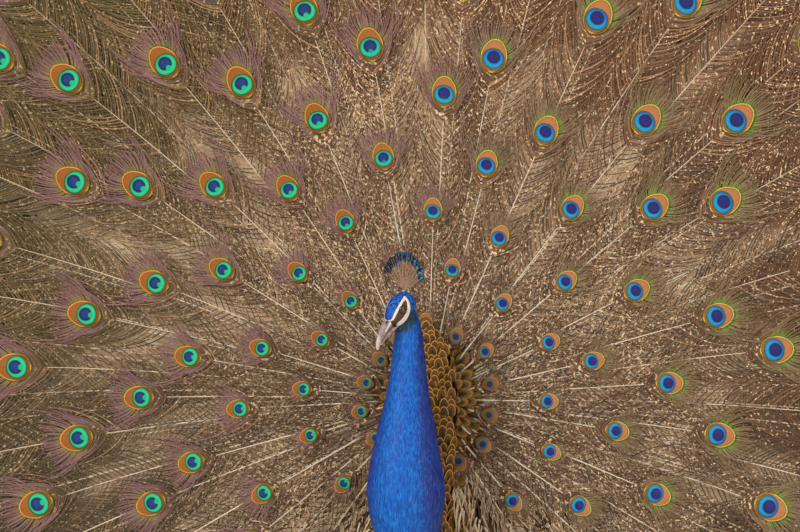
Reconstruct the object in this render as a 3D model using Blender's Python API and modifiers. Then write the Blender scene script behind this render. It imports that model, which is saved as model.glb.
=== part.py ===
"""Peacock in full display: a still, life-size model with one closed solid for each named part of the body.

The bird faces -Y, its left side is +X, and it stands on the floor at Z = 0. Shapes are laid out in a
bird frame, whose Y = 0 is the middle of the trunk, and everything is moved by ORIGIN_SHIFT_Y at the end,
so that the origin is the bottom centre of the whole model.
"""

import math

import bmesh
import bpy
from mathutils import Matrix, Vector

# Driving dimensions, in metres and degrees
GAP = 0.0003
MERGE = 0.00006
ORIGIN_SHIFT_Y = 0.0150

TRUNK_REAR_Y = 0.170
TRUNK_SIDES = 18

NECK_JOIN_Z = 0.664
NECK_TOP = Vector((0.0, -0.150, 0.800))

HEAD_PITCH = 32.0
HEAD_YAW = 33.0
HEAD_CENTRE = Vector((-0.0095, -0.1665, 0.8315))
EYE_RADIUS = 0.0062
EYE_PLACE = Vector((0.0125, -0.0070, 0.0030))
BILL_REACH = 0.0660
BILL_DROOP = 0.0125
CREST_ROOT = Vector((0.0, 0.0200, 0.0170))
CREST_REACH = 0.0550
CREST_FORWARD = 50.0
CREST_REARWARD = 66.0
CREST_FEATHERS = 12

FAN_CENTRE = Vector((0.0, -0.010, 0.700))
FAN_REACH = 1.130
FAN_FULL_SPAN = 104.0
FAN_SPAN = 151.0
FAN_LOW_REACH = 0.300
FAN_CUP = 0.200
FAN_LEAN = 0.045
FAN_SECTORS = 15
FAN_THICKNESS = 0.0016
FISHTAIL_DEPTH = 0.030

TAIL_CENTRE = Vector((0.0, 0.105, 0.490))
TAIL_REACH = 0.460
TAIL_SPAN = 84.0
TAIL_FEATHERS = 20

WRIST = Vector((0.097, -0.060, 0.345))
PRIMARY_REACH = 0.330
PRIMARY_FEATHERS = 8

FOOT = Vector((0.058, -0.036, 0.0))
HOCK = Vector((0.060, 0.014, 0.158))
PAD_RADIUS = 0.0110
TOE_RADIUS = 0.0062
TOES = {
    "middle": (2.0, 0.066, 0.017),
    "inner": (-34.0, 0.050, 0.015),
    "outer": (38.0, 0.053, 0.015),
    "hind": (172.0, 0.024, 0.012),
}
CLAW_STATIONS = ((0.0, 0.0030, 0.0046), (0.5, 0.0025, 0.0054), (1.0, 0.0006, 0.0014))
SPUR_LENGTH = 0.022


def smooth(start, stop, position):
    """Goes from 0 at start to 1 at stop with level ends."""
    t = min(max((position - start) / (stop - start), 0.0), 1.0)
    return t * t * (3.0 - 2.0 * t)


def between(stations, position):
    """Reads a row of values at a position from (position, value, value, ...) stations, with a smooth curve."""
    count = len(stations)
    after = next((i for i in range(1, count) if stations[i][0] >= position), count - 1)
    low, high = stations[after - 1], stations[after]
    before, beyond = stations[max(after - 2, 0)], stations[min(after + 1, count - 1)]
    span = high[0] - low[0]
    t = (position - low[0]) / span
    values = []
    for a, b, c, d, index in zip(before[1:], low[1:], high[1:], beyond[1:], range(1, len(low))):
        rise_low = (c - a) / max(high[0] - before[0], span) * span
        rise_high = (d - b) / max(beyond[0] - low[0], span) * span
        t2, t3 = t * t, t * t * t
        values.append(
            (2 * t3 - 3 * t2 + 1) * b
            + (t3 - 2 * t2 + t) * rise_low
            + (3 * t2 - 2 * t3) * c
            + (t3 - t2) * rise_high
        )
    return values


class Studio:
    """Keeps the collections and makes objects and materials in them."""

    def __init__(self):
        for old in list(bpy.data.objects):
            bpy.data.objects.remove(old)
        self.parts = self.collection("peacock")
        self.cutters = self.collection("cutters")
        self.materials = {}

    @staticmethod
    def collection(name):
        made = bpy.data.collections.new(name)
        bpy.context.scene.collection.children.link(made)
        return made

    def material(self, name, colour, roughness):
        """A plain Principled material, made once for each name."""
        if name not in self.materials:
            made = bpy.data.materials.new(name)
            made.use_nodes = True
            shader = made.node_tree.nodes["Principled BSDF"]
            shader.inputs["Base Color"].default_value = (*colour, 1.0)
            shader.inputs["Roughness"].default_value = roughness
            shader.inputs["Metallic"].default_value = 0.0
            self.materials[name] = made
        return self.materials[name]

    def add(self, name, mesh, material):
        """Puts a mesh in the parts collection as a smooth-shaded object."""
        mesh.name = name
        mesh.materials.clear()
        mesh.materials.append(material)
        mesh.shade_smooth()
        mesh.set_sharp_from_angle(angle=math.radians(50.0))
        made = bpy.data.objects.new(name, mesh)
        self.parts.objects.link(made)
        return made


studio = Studio()

COBALT = studio.material("cobalt_plumage", (0.010, 0.110, 0.480), 0.45)
BRONZE = studio.material("bronze_plumage", (0.220, 0.140, 0.060), 0.60)
GOLD = studio.material("gold_scale_plumage", (0.500, 0.230, 0.025), 0.45)
BUFF = studio.material("buff_barred_plumage", (0.420, 0.330, 0.210), 0.70)
CHESTNUT = studio.material("chestnut_quills", (0.330, 0.130, 0.050), 0.60)
DUSKY = studio.material("dusky_plumage", (0.060, 0.045, 0.035), 0.80)
HORN = studio.material("grey_horn", (0.420, 0.340, 0.330), 0.35)
SCUTES = studio.material("grey_leg_scutes", (0.260, 0.220, 0.190), 0.55)
EYE = studio.material("dark_eye", (0.020, 0.010, 0.006), 0.08)


def finish_mesh(bm):
    """Turns all faces outward and returns the mesh."""
    bmesh.ops.recalc_face_normals(bm, faces=bm.faces)
    mesh = bpy.data.meshes.new("made")
    bm.to_mesh(mesh)
    bm.free()
    return mesh


def loft(name, rings, sides, material, floor=None):
    """Closed body through oval rings.

    Each ring is (centre, half width, height above, height below), its plane square to the spine through
    the centres. The width lies along the direction that is level and square to the spine. With a floor,
    points under that height are raised to it, which makes the flat of a sole.
    """
    centres = [Vector(ring[0]) for ring in rings]
    last = len(rings) - 1
    bm = bmesh.new()
    rows = []
    for index, (_, half_width, above, below) in enumerate(rings):
        along = (centres[min(index + 1, last)] - centres[max(index - 1, 0)]).normalized()
        across = Vector((1.0, 0.0, 0.0))
        if abs(along.x) > 0.05:
            across = along.cross(Vector((0.0, 0.0, 1.0))).normalized()
        over = across.cross(along).normalized()
        row = []
        for side in range(sides):
            angle = 2.0 * math.pi * side / sides
            height = above if math.cos(angle) > 0.0 else below
            point = centres[index] + across * (half_width * math.sin(angle)) + over * (height * math.cos(angle))
            if floor is not None:
                point.z = max(point.z, floor)
            row.append(bm.verts.new(point))
        rows.append(row)
    for lower, upper in zip(rows, rows[1:]):
        for side in range(sides):
            following = (side + 1) % sides
            bm.faces.new((lower[side], lower[following], upper[following], upper[side]))
    bm.faces.new(list(reversed(rows[0])))
    bm.faces.new(rows[-1])
    if floor is not None:
        bmesh.ops.remove_doubles(bm, verts=bm.verts, dist=MERGE)
    return studio.add(name, finish_mesh(bm), material)


def rings_along(stations, start, stop, count, centre_of):
    """Rings at even steps from start to stop, read smoothly from stations of (position, ...sizes)."""
    rings = []
    for step in range(count):
        position = start + (stop - start) * step / (count - 1)
        rings.append(centre_of(position, between(stations, position)))
    return rings


def settle(made):
    """Applies an object's modifiers and its place, so that its mesh is the finished solid in the bird frame."""
    graph = bpy.context.evaluated_depsgraph_get()
    mesh = bpy.data.meshes.new_from_object(made.evaluated_get(graph))
    mesh.transform(made.matrix_world)
    made.modifiers.clear()
    made.matrix_world = Matrix.Identity(4)
    made.data = mesh
    mesh.name = made.name
    return made


def grown(made, distance):
    """A cutter: a copy of a solid with every face moved out by a small distance."""
    mesh = made.data.copy()
    normals = [vert.normal.copy() for vert in mesh.vertices]
    for vert, normal in zip(mesh.vertices, normals):
        vert.co += normal * distance
    cutter = bpy.data.objects.new("cut_" + made.name, mesh)
    cutter.hide_render = True
    cutter.display_type = "WIRE"
    studio.cutters.objects.link(cutter)
    return cutter


def keep_main_body(made):
    """Drops the scraps that a cut leaves behind and keeps the largest body."""
    bm = bmesh.new()
    bm.from_mesh(made.data)
    bmesh.ops.remove_doubles(bm, verts=bm.verts, dist=MERGE)
    bmesh.ops.dissolve_degenerate(bm, edges=bm.edges, dist=MERGE)
    waiting = set(bm.verts)
    bodies = []
    while waiting:
        edge_of_body = [waiting.pop()]
        body = set(edge_of_body)
        while edge_of_body:
            vert = edge_of_body.pop()
            for edge in vert.link_edges:
                other = edge.other_vert(vert)
                if other in waiting:
                    waiting.discard(other)
                    body.add(other)
                    edge_of_body.append(other)
        bodies.append(body)
    main = max(bodies, key=len)
    bmesh.ops.delete(bm, geom=[vert for vert in bm.verts if vert not in main], context="VERTS")
    bm.to_mesh(made.data)
    bm.free()
    return made


def trim(made, *neighbours):
    """Cuts a solid back from its neighbours, leaving the touching gap, and keeps its main body."""
    for neighbour in neighbours:
        cut = made.modifiers.new("trim_" + neighbour.name, "BOOLEAN")
        cut.operation = "DIFFERENCE"
        cut.solver = "EXACT"
        cut.object = grown(neighbour, GAP)
    return keep_main_body(settle(made))


def mirrored(made, name):
    """The same solid on the other side of the bird."""
    bm = bmesh.new()
    bm.from_mesh(made.data)
    bmesh.ops.scale(bm, verts=bm.verts, vec=(-1.0, 1.0, 1.0))
    bmesh.ops.reverse_faces(bm, faces=bm.faces)
    mesh = bpy.data.meshes.new(name)
    bm.to_mesh(mesh)
    bm.free()
    return studio.add(name, mesh, made.data.materials[0])


def fan_sheet(name, place, angles, inner, rings, rim, teeth, thickness, material):
    """Thin fan between a root and a row of feather tips.

    place(reach, angle) gives a point, angles are the columns' edges, inner(angle) is the reach of the
    root's edge, rings are the inner rows as shares of the way from it to the rim, rim(angle, tooth) is
    the reach at the tips, and teeth is the number of rim points to a column, where tooth goes from 0 to 1.
    """
    bm = bmesh.new()
    rows = []
    for share in rings:
        reaches = [inner(angle) + share * (rim(angle, None) - inner(angle)) for angle in angles]
        rows.append([bm.verts.new(place(reach, angle)) for reach, angle in zip(reaches, angles)])
    edge = []
    for left, right in zip(angles, angles[1:]):
        for tooth in range(teeth):
            part = tooth / teeth
            angle = left + (right - left) * part
            edge.append(bm.verts.new(place(rim(angle, part), angle)))
    edge.append(bm.verts.new(place(rim(angles[-1], 0.0), angles[-1])))
    for lower, upper in zip(rows, rows[1:]):
        for column in range(len(angles) - 1):
            bm.faces.new((lower[column], lower[column + 1], upper[column + 1], upper[column]))
    for column in range(len(angles) - 1):
        tips = edge[column * teeth : (column + 1) * teeth + 1]
        bm.faces.new([rows[-1][column], rows[-1][column + 1]] + tips[::-1])
    mesh = bpy.data.meshes.new(name)
    bmesh.ops.triangulate(bm, faces=[face for face in bm.faces if len(face.verts) > 4])
    bm.to_mesh(mesh)
    bm.free()
    made = studio.add(name, mesh, material)
    wall = made.modifiers.new("thickness", "SOLIDIFY")
    wall.thickness = thickness
    wall.offset = 0.0
    return settle(made)


def even_angles(start, stop, columns):
    """Column edges at even steps, in degrees."""
    return [start + (stop - start) * column / columns for column in range(columns + 1)]


# Trunk, neck and head


def build_trunk():
    """Egg-shaped trunk from the breast to the root of the tail: (y, z, half width, above, below)."""
    stations = (
        (-0.200, 0.432, 0.030, 0.034, 0.036),
        (-0.185, 0.425, 0.050, 0.052, 0.058),
        (-0.150, 0.412, 0.074, 0.072, 0.082),
        (-0.090, 0.400, 0.092, 0.086, 0.098),
        (0.000, 0.396, 0.099, 0.090, 0.102),
        (0.080, 0.402, 0.088, 0.088, 0.086),
        (0.140, 0.420, 0.062, 0.070, 0.058),
        (TRUNK_REAR_Y, 0.434, 0.034, 0.042, 0.034),
    )
    rings = rings_along(
        stations, -0.200, TRUNK_REAR_Y, 13, lambda y, row: ((0.0, y, row[0]), row[1], row[2], row[3])
    )
    return loft("trunk", rings, TRUNK_SIDES, COBALT)


# Neck from the breast up: (z, y, half width, forward, rearward)
NECK_STATIONS = (
    (0.420, -0.120, 0.050, 0.062, 0.050),
    (0.470, -0.140, 0.048, 0.066, 0.050),
    (0.522, -0.155, 0.0485, 0.066, 0.052),
    (0.550, -0.163, 0.0545, 0.064, 0.053),
    (0.584, -0.168, 0.0580, 0.062, 0.052),
    (0.619, -0.167, 0.0520, 0.055, 0.048),
    (0.668, -0.162, 0.0430, 0.045, 0.041),
    (0.706, -0.157, 0.0340, 0.037, 0.034),
    (0.740, -0.153, 0.0288, 0.031, 0.029),
    (0.775, -0.150, 0.0245, 0.027, 0.025),
    (0.800, NECK_TOP.y, 0.0220, 0.024, 0.022),
    (0.822, -0.153, 0.0170, 0.017, 0.016),
)


def neck_rings(start, stop, count):
    """Rings of the neck between two heights."""
    return rings_along(
        NECK_STATIONS, start, stop, count, lambda z, row: ((0.0, row[0], z), row[1], row[2], row[3])
    )


def level_ends(made, height, direction):
    """Cuts a neck length flat at the height where it meets the next one."""
    bm = bmesh.new()
    bm.from_mesh(made.data)
    geometry = list(bm.verts) + list(bm.edges) + list(bm.faces)
    cut = bmesh.ops.bisect_plane(
        bm, geom=geometry, plane_co=(0.0, 0.0, height), plane_no=(0.0, 0.0, direction), clear_outer=True
    )
    open_edges = [item for item in cut["geom_cut"] if isinstance(item, bmesh.types.BMEdge)]
    bmesh.ops.contextual_create(bm, geom=open_edges)
    bmesh.ops.recalc_face_normals(bm, faces=bm.faces)
    bm.to_mesh(made.data)
    bm.free()
    return made


def build_neck(trunk, head):
    """Neck in two lengths that part at NECK_JOIN_Z."""
    upper = loft("neck_upper", neck_rings(NECK_JOIN_Z - 0.020, 0.822, 8), TRUNK_SIDES, COBALT)
    trim(level_ends(upper, NECK_JOIN_Z + GAP / 2.0, -1.0), head)
    lower = loft("neck_lower", neck_rings(0.420, NECK_JOIN_Z + 0.020, 11), TRUNK_SIDES, COBALT)
    return trim(level_ends(lower, NECK_JOIN_Z - GAP / 2.0, 1.0), trunk)


def head_matrix():
    """Places the head frame, which faces -Y, at the head's turn and nod."""
    turn = Matrix.Rotation(math.radians(-HEAD_YAW), 4, "Z")
    nod = Matrix.Rotation(math.radians(HEAD_PITCH), 4, "X")
    return Matrix.Translation(HEAD_CENTRE) @ turn @ nod


def place_on_head(made):
    """Moves a piece from the head frame to its place on the bird."""
    made.data.transform(head_matrix())
    return made


# Head from the nape to the bill: (y, z, half width, above, below)
HEAD_STATIONS = (
    (0.0305, 0.0020, 0.0060, 0.0065, 0.0070),
    (0.0275, 0.0018, 0.0110, 0.0115, 0.0125),
    (0.0210, 0.0010, 0.0160, 0.0170, 0.0180),
    (0.0110, 0.0004, 0.0185, 0.0206, 0.0205),
    (0.0000, 0.0000, 0.0186, 0.0212, 0.0205),
    (-0.0090, -0.0012, 0.0170, 0.0192, 0.0185),
    (-0.0170, -0.0026, 0.0143, 0.0158, 0.0160),
    (-0.0240, -0.0042, 0.0110, 0.0120, 0.0128),
    (-0.0290, -0.0056, 0.0078, 0.0086, 0.0092),
)


def eyeball(side):
    """A ball set in the side of the head, in the head frame."""
    bm = bmesh.new()
    bmesh.ops.create_uvsphere(bm, u_segments=12, v_segments=7, radius=EYE_RADIUS)
    bmesh.ops.rotate(bm, verts=bm.verts, cent=(0, 0, 0), matrix=Matrix.Rotation(math.pi / 2.0, 3, "Y"))
    centre = Vector((EYE_PLACE.x * side, EYE_PLACE.y, EYE_PLACE.z))
    bmesh.ops.translate(bm, verts=bm.verts, vec=centre)
    return studio.add("eye_left" if side > 0 else "eye_right", finish_mesh(bm), EYE)


def bill_half(name, stations, sides):
    """One half of the bill from its root in the face to its tip: (forward, top z, bottom z, half width)."""
    rings = []
    for forward, top, bottom, half_width in stations:
        middle = (top + bottom) / 2.0
        rings.append(((0.0, -forward, middle), half_width, top - middle, middle - bottom))
    return loft(name, rings, sides, HORN)


def build_head():
    """Head with its eyes, the two halves of the bill and the crest."""
    head = loft(
        "head",
        rings_along(
            HEAD_STATIONS[::-1], HEAD_STATIONS[-1][0], HEAD_STATIONS[0][0], 11,
            lambda y, row: ((0.0, y, row[0]), row[1], row[2], row[3]),
        ),
        16,
        COBALT,
    )
    eyes = [eyeball(1.0), eyeball(-1.0)]
    gape = -0.0120
    upper = bill_half(
        "bill_upper",
        [
            (0.0180, 0.0030, gape + 0.0006, 0.0080),
            (0.0300, 0.0020, gape - 0.0004, 0.0068),
            (0.0400, -0.0010, gape - 0.0022, 0.0054),
            (0.0500, -0.0062, gape - 0.0056, 0.0040),
            (0.0580, -0.0122, gape - 0.0095, 0.0028),
            (0.0630, -0.0172, gape - BILL_DROOP, 0.0016),
            (BILL_REACH, -0.0232, gape - BILL_DROOP - 0.0032, 0.0006),
        ],
        12,
    )
    lower = bill_half(
        "bill_lower",
        [
            (0.0180, gape + 0.0006 - GAP, gape - 0.0070, 0.0070),
            (0.0300, gape - 0.0004 - GAP, gape - 0.0074, 0.0058),
            (0.0400, gape - 0.0022 - GAP, gape - 0.0082, 0.0044),
            (0.0500, gape - 0.0056 - GAP, gape - 0.0098, 0.0030),
            (0.0575, gape - 0.0093 - GAP, gape - 0.0120, 0.0016),
        ],
        12,
    )
    trim(head, *eyes)
    trim(upper, head)
    trim(lower, head, upper)
    crest = build_crest(head)
    for made in (head, *eyes, upper, lower, crest):
        place_on_head(made)
    return head


def build_crest(head):
    """Upright fan of crest feathers in the head's middle plane, ending in a row of small racquets."""

    def place(reach, angle):
        lean = math.radians(angle + HEAD_PITCH)
        return CREST_ROOT + Vector((0.0, math.sin(lean), math.cos(lean))) * reach

    def rim(angle, tooth):
        taper = 1.0 - 0.20 * (angle / CREST_REARWARD) ** 2
        notch = 0.0 if tooth is None else 0.12 * (1.0 - math.sin(math.pi * tooth))
        return CREST_REACH * taper * (0.86 if tooth is None else 1.0) - CREST_REACH * notch * taper

    angles = even_angles(-CREST_FORWARD, CREST_REARWARD, CREST_FEATHERS)
    crest = fan_sheet("crest", place, angles, lambda angle: 0.003, (0.0, 1.0), rim, 3, 0.0022, DUSKY)
    return trim(crest, head)


# Train and tail


def fan_point(reach, angle):
    """A point on the shallow dish of the train, from its centre outward; angle 0 is straight up."""
    turn = math.radians(angle)
    rise = reach * math.cos(turn)
    depth = FAN_CUP * (reach / FAN_REACH) ** 2 + FAN_LEAN * rise / FAN_REACH
    return FAN_CENTRE + Vector((reach * math.sin(turn), -depth, rise))


def fan_rim(angle, tooth):
    """Reach of the train: full over the top and sides, shorter where it hangs below."""
    low = smooth(FAN_FULL_SPAN, FAN_SPAN, abs(angle))
    reach = FAN_REACH * (1.0 - low) + FAN_LOW_REACH * low
    if tooth is None:
        return reach
    notch = abs(math.sin(2.0 * math.pi * (tooth - 0.25)))
    return reach - FISHTAIL_DEPTH * (0.25 + 0.75 * low) * notch * (1.0 if tooth in (0.0, 1.0) else 0.45)


def fan_root(angle):
    """Reach of the train sectors' inner edge, just outside the train's root."""
    side = smooth(0.0, 60.0, abs(angle))
    low = smooth(100.0, FAN_SPAN, abs(angle))
    return 0.100 - 0.013 * side + 0.040 * low


def build_train():
    """The spread train, parted into thin sectors from the bird's right, over the top, to its left."""
    step = 2.0 * FAN_SPAN / FAN_SECTORS
    for index in range(FAN_SECTORS):
        start = -FAN_SPAN + step * index
        slit = math.degrees(GAP / FAN_LOW_REACH)
        angles = even_angles(start + slit, start + step - slit, 4)
        name = f"train_{index + 1:02d}"
        rings = (0.0, 0.26, 0.52, 0.78)
        fan_sheet(name, fan_point, angles, fan_root, rings, fan_rim, 4, FAN_THICKNESS, BRONZE)


def build_train_root(trunk):
    """Upright root of the train: the raised lower back, from which all the long feathers spring."""
    stations = (
        (0.440, 0.062, 0.050, 0.030, 0.034),
        (0.500, 0.050, 0.056, 0.034, 0.034),
        (0.580, 0.026, 0.066, 0.034, 0.030),
        (0.660, 0.000, 0.078, 0.030, 0.026),
        (0.730, -0.012, 0.074, 0.024, 0.020),
        (0.775, -0.016, 0.048, 0.016, 0.013),
        (0.795, -0.018, 0.018, 0.007, 0.006),
    )
    rings = rings_along(stations, 0.440, 0.795, 9, lambda z, row: ((0.0, row[0], z), row[1], row[2], row[3]))
    return trim(loft("train_root", rings, 14, BRONZE), trunk)


def build_mantle(trunk, root, neck):
    """Shield of scale-like back feathers that stands up behind the neck."""
    stations = (
        (0.455, -0.080, 0.050, 0.020, 0.030),
        (0.520, -0.082, 0.047, 0.016, 0.030),
        (0.600, -0.078, 0.051, 0.012, 0.030),
        (0.680, -0.070, 0.055, 0.009, 0.026),
        (0.740, -0.063, 0.050, 0.008, 0.022),
        (0.785, -0.057, 0.033, 0.006, 0.016),
        (0.805, -0.054, 0.012, 0.004, 0.010),
    )
    rings = rings_along(stations, 0.455, 0.805, 10, lambda z, row: ((0.0, row[0], z), row[1], row[2], row[3]))
    return trim(loft("mantle", rings, 14, GOLD), trunk, root, neck)


def build_tail(trunk, root):
    """The short true tail, spread behind the train, which it props up."""

    def place(reach, angle):
        turn = math.radians(angle)
        rise = reach * math.cos(turn)
        return TAIL_CENTRE + Vector((reach * math.sin(turn), -0.10 * rise - 0.06 * reach, rise))

    def rim(angle, tooth):
        notch = 0.0 if tooth is None else 0.035 * (1.0 - math.sin(math.pi * tooth))
        return TAIL_REACH * (0.93 if tooth is None else 1.0 - notch)

    angles = even_angles(-TAIL_SPAN, TAIL_SPAN, TAIL_FEATHERS)
    tail = fan_sheet("tail", place, angles, lambda angle: 0.026, (0.0, 1.0), rim, 3, 0.0020, CHESTNUT)
    return trim(tail, trunk, root)


def build_undertail(trunk, root, tail):
    """Downy pad behind the root of the tail."""
    stations = (
        (0.385, 0.120, 0.030, 0.024, 0.020),
        (0.430, 0.132, 0.062, 0.046, 0.036),
        (0.500, 0.128, 0.082, 0.040, 0.044),
        (0.570, 0.112, 0.078, 0.040, 0.036),
        (0.625, 0.096, 0.050, 0.026, 0.022),
        (0.648, 0.088, 0.020, 0.012, 0.010),
    )
    rings = rings_along(stations, 0.385, 0.648, 8, lambda z, row: ((0.0, row[0], z), row[1], row[2], row[3]))
    return trim(loft("undertail", rings, 12, DUSKY), trunk, tail, root)


# Wings


def wing_point(along, across):
    """A point on the outer face of the folded wing; along is 0 at the shoulder, across is 1 at the top edge."""
    y = -0.135 + 0.330 * along
    half_height = 0.076 * math.sin(math.pi * min(0.10 + 0.90 * along ** 0.8, 1.0)) ** 0.62 + 0.004
    z = 0.392 - 0.050 * along + across * half_height
    bulge = 1.0 - ((y - 0.010) / 0.300) ** 2 - ((z - 0.385) / 0.155) ** 2
    return Vector((0.119 * math.sqrt(bulge), y, z))


def build_wing(trunk):
    """Left wing held close to the trunk, thick at the shoulder and thin at its edges."""
    long_steps, cross_steps = 8, 4
    bm = bmesh.new()
    weights = []
    rows = []
    for i in range(long_steps + 1):
        along = i / long_steps
        row = []
        for j in range(cross_steps + 1):
            across = 2.0 * j / cross_steps - 1.0
            row.append(bm.verts.new(wing_point(along, across)))
            middle = 1.0 - across * across
            weights.append(0.10 + 0.90 * middle * (1.0 - smooth(0.35, 0.95, along)) * smooth(-0.25, 0.20, along))
        rows.append(row)
    for lower, upper in zip(rows, rows[1:]):
        for j in range(cross_steps):
            bm.faces.new((lower[j], upper[j], upper[j + 1], lower[j + 1]))
    mesh = bpy.data.meshes.new("wing_left")
    bm.to_mesh(mesh)
    bm.free()
    wing = studio.add("wing_left", mesh, BUFF)
    group = wing.vertex_groups.new(name="depth")
    for index, weight in enumerate(weights):
        group.add([index], weight, "REPLACE")
    wall = wing.modifiers.new("depth", "SOLIDIFY")
    wall.thickness = 0.034
    wall.offset = -1.0
    wall.vertex_group = "depth"
    return trim(settle(wing), trunk)


def build_primaries(wing, trunk, thigh):
    """Left flight feathers, let down and a little spread below the wing."""

    def place(reach, angle):
        turn = math.radians(angle)
        out = 0.020 + 0.080 * reach
        return WRIST + Vector((out * smooth(0.05, 0.30, reach), reach * math.cos(turn), -reach * math.sin(turn)))

    def rim(angle, tooth):
        taper = 0.80 + 0.20 * math.sin(math.radians(2.0 * angle))
        notch = 0.0 if tooth is None else 0.06 * (1.0 - math.sin(math.pi * tooth))
        return PRIMARY_REACH * taper * (0.9 if tooth is None else 1.0 - notch)

    angles = even_angles(62.0, 14.0, PRIMARY_FEATHERS)
    sheet = fan_sheet("primaries_left", place, angles, lambda angle: 0.050, (0.0, 1.0), rim, 3, 0.0024, CHESTNUT)
    return trim(sheet, wing, trunk, thigh)


# Legs


def build_thigh(trunk, wing):
    """Left drumstick, from the flank down to the hock."""
    rings = [
        ((0.050, -0.012, 0.390), 0.030, 0.046, 0.040),
        ((0.055, -0.010, 0.335), 0.037, 0.054, 0.046),
        ((0.058, -0.007, 0.290), 0.036, 0.051, 0.042),
        ((0.060, -0.002, 0.248), 0.030, 0.041, 0.034),
        ((0.060, 0.004, 0.210), 0.0210, 0.028, 0.025),
        ((0.060, 0.010, 0.178), 0.0135, 0.017, 0.016),
        ((HOCK.x, HOCK.y, HOCK.z + 0.004), 0.0090, 0.0105, 0.0105),
    ]
    return trim(loft("thigh_left", rings[::-1], 12, DUSKY), trunk, wing)


def build_tarsus(thigh):
    """Left shank from the hock to the pad under the toes, which is flat on the floor."""
    rings = [
        ((HOCK.x, HOCK.y + 0.003, HOCK.z + 0.014), 0.0060, 0.0070, 0.0070),
        ((HOCK.x, HOCK.y + 0.001, HOCK.z + 0.006), 0.0088, 0.0105, 0.0100),
        ((HOCK.x, HOCK.y - 0.002, HOCK.z - 0.008), 0.0080, 0.0100, 0.0095),
        ((0.0595, 0.004, 0.128), 0.0062, 0.0080, 0.0078),
        ((0.0590, -0.010, 0.085), 0.0058, 0.0074, 0.0072),
        ((0.0585, -0.024, 0.042), 0.0062, 0.0076, 0.0074),
        ((FOOT.x, FOOT.y + 0.002, 0.022), 0.0080, 0.0090, 0.0085),
        ((FOOT.x, FOOT.y, 0.011), 0.0105, 0.0110, 0.0105),
        ((FOOT.x, FOOT.y, 0.004), PAD_RADIUS, PAD_RADIUS, PAD_RADIUS),
        ((FOOT.x, FOOT.y, 0.000), PAD_RADIUS - 0.0015, PAD_RADIUS - 0.0015, PAD_RADIUS - 0.0015),
    ]
    tarsus = loft("tarsus_left", rings[::-1], 10, SCUTES, floor=0.0)
    return trim(tarsus, thigh)


def build_toes(tarsus):
    """Left toes on their flats, each with its claw."""
    toes = []
    claws = []
    for name, (heading, length, claw_length) in TOES.items():
        turn = math.radians(heading)
        ahead = Vector((math.sin(turn), -math.cos(turn), 0.0))
        start = FOOT + ahead * (PAD_RADIUS - 0.0035)
        radius = TOE_RADIUS if name != "hind" else TOE_RADIUS - 0.0010
        rings = []
        for part, width in ((0.0, 1.0), (0.40, 0.94), (0.75, 0.84), (0.93, 0.82), (1.0, 0.58)):
            size = radius * width
            rings.append((start + ahead * length * part + Vector((0, 0, size * 0.70)), size, size, size))
        toe = trim(loft(f"toe_{name}_left", rings, 8, SCUTES, floor=0.0), tarsus, *toes)
        tip = start + ahead * (length - 0.0020)
        claw_rings = []
        for part, width, height in CLAW_STATIONS:
            claw_rings.append((tip + ahead * claw_length * part + Vector((0, 0, height)), width, width, width))
        claw = trim(loft(f"claw_{name}_left", claw_rings, 6, HORN, floor=0.0), toe)
        toes.append(toe)
        claws.append(claw)
    return toes + claws


def build_spur(tarsus):
    """Left spur on the inner back of the shank."""
    root = Vector((0.0560, -0.012, 0.062))
    point = Vector((-0.28, 0.86, 0.42)).normalized()
    rings = []
    for part, width in ((0.0, 0.0042), (0.5, 0.0030), (1.0, 0.0006)):
        rings.append((root + point * SPUR_LENGTH * part + Vector((0, 0, 0.003 * part * part)), width, width, width))
    return trim(loft("spur_left", rings, 7, HORN), tarsus)


def build():
    """Builds every part, mirrors the left side to the right and centres the model."""
    trunk = build_trunk()
    head = build_head()
    neck = build_neck(trunk, head)
    root = build_train_root(trunk)
    build_mantle(trunk, root, neck)
    build_train()
    tail = build_tail(trunk, root)
    build_undertail(trunk, root, tail)
    wing = build_wing(trunk)
    thigh = build_thigh(trunk, wing)
    primaries = build_primaries(wing, trunk, thigh)
    tarsus = build_tarsus(thigh)
    toes = build_toes(tarsus)
    spur = build_spur(tarsus)
    for made in (thigh, wing, primaries, tarsus, *toes, spur):
        mirrored(made, made.name.replace("_left", "_right"))
    for made in studio.parts.objects:
        made.data.transform(Matrix.Translation((0.0, ORIGIN_SHIFT_Y, 0.0)))


build()
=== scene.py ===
"""Looks of the displaying peacock: one feathered skin, a spread train of eyed feathers, and a plain studio.

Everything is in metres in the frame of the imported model. The bird faces -Y and its left side is +X.
"""

import enum
import logging
import math
from collections.abc import Callable
from dataclasses import dataclass, field

import bmesh
import bpy
import numpy as np
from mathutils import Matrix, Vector
from mathutils.bvhtree import BVHTree


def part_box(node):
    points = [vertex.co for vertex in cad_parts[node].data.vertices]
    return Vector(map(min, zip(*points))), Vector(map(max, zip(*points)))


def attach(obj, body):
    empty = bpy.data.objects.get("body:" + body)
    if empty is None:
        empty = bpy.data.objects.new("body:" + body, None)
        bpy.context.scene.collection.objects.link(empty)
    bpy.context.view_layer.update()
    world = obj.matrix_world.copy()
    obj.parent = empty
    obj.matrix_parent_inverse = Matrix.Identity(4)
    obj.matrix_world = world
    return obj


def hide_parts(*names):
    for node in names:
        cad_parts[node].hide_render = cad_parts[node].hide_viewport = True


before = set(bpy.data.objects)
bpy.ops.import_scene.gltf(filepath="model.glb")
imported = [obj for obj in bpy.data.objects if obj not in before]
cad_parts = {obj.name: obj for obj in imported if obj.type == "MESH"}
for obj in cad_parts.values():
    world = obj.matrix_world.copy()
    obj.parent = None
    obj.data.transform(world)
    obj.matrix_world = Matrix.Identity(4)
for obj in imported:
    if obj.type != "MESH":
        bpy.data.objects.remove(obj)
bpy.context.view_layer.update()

log = logging.getLogger("peacock")
Array = np.ndarray
Object = bpy.types.Object
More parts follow.
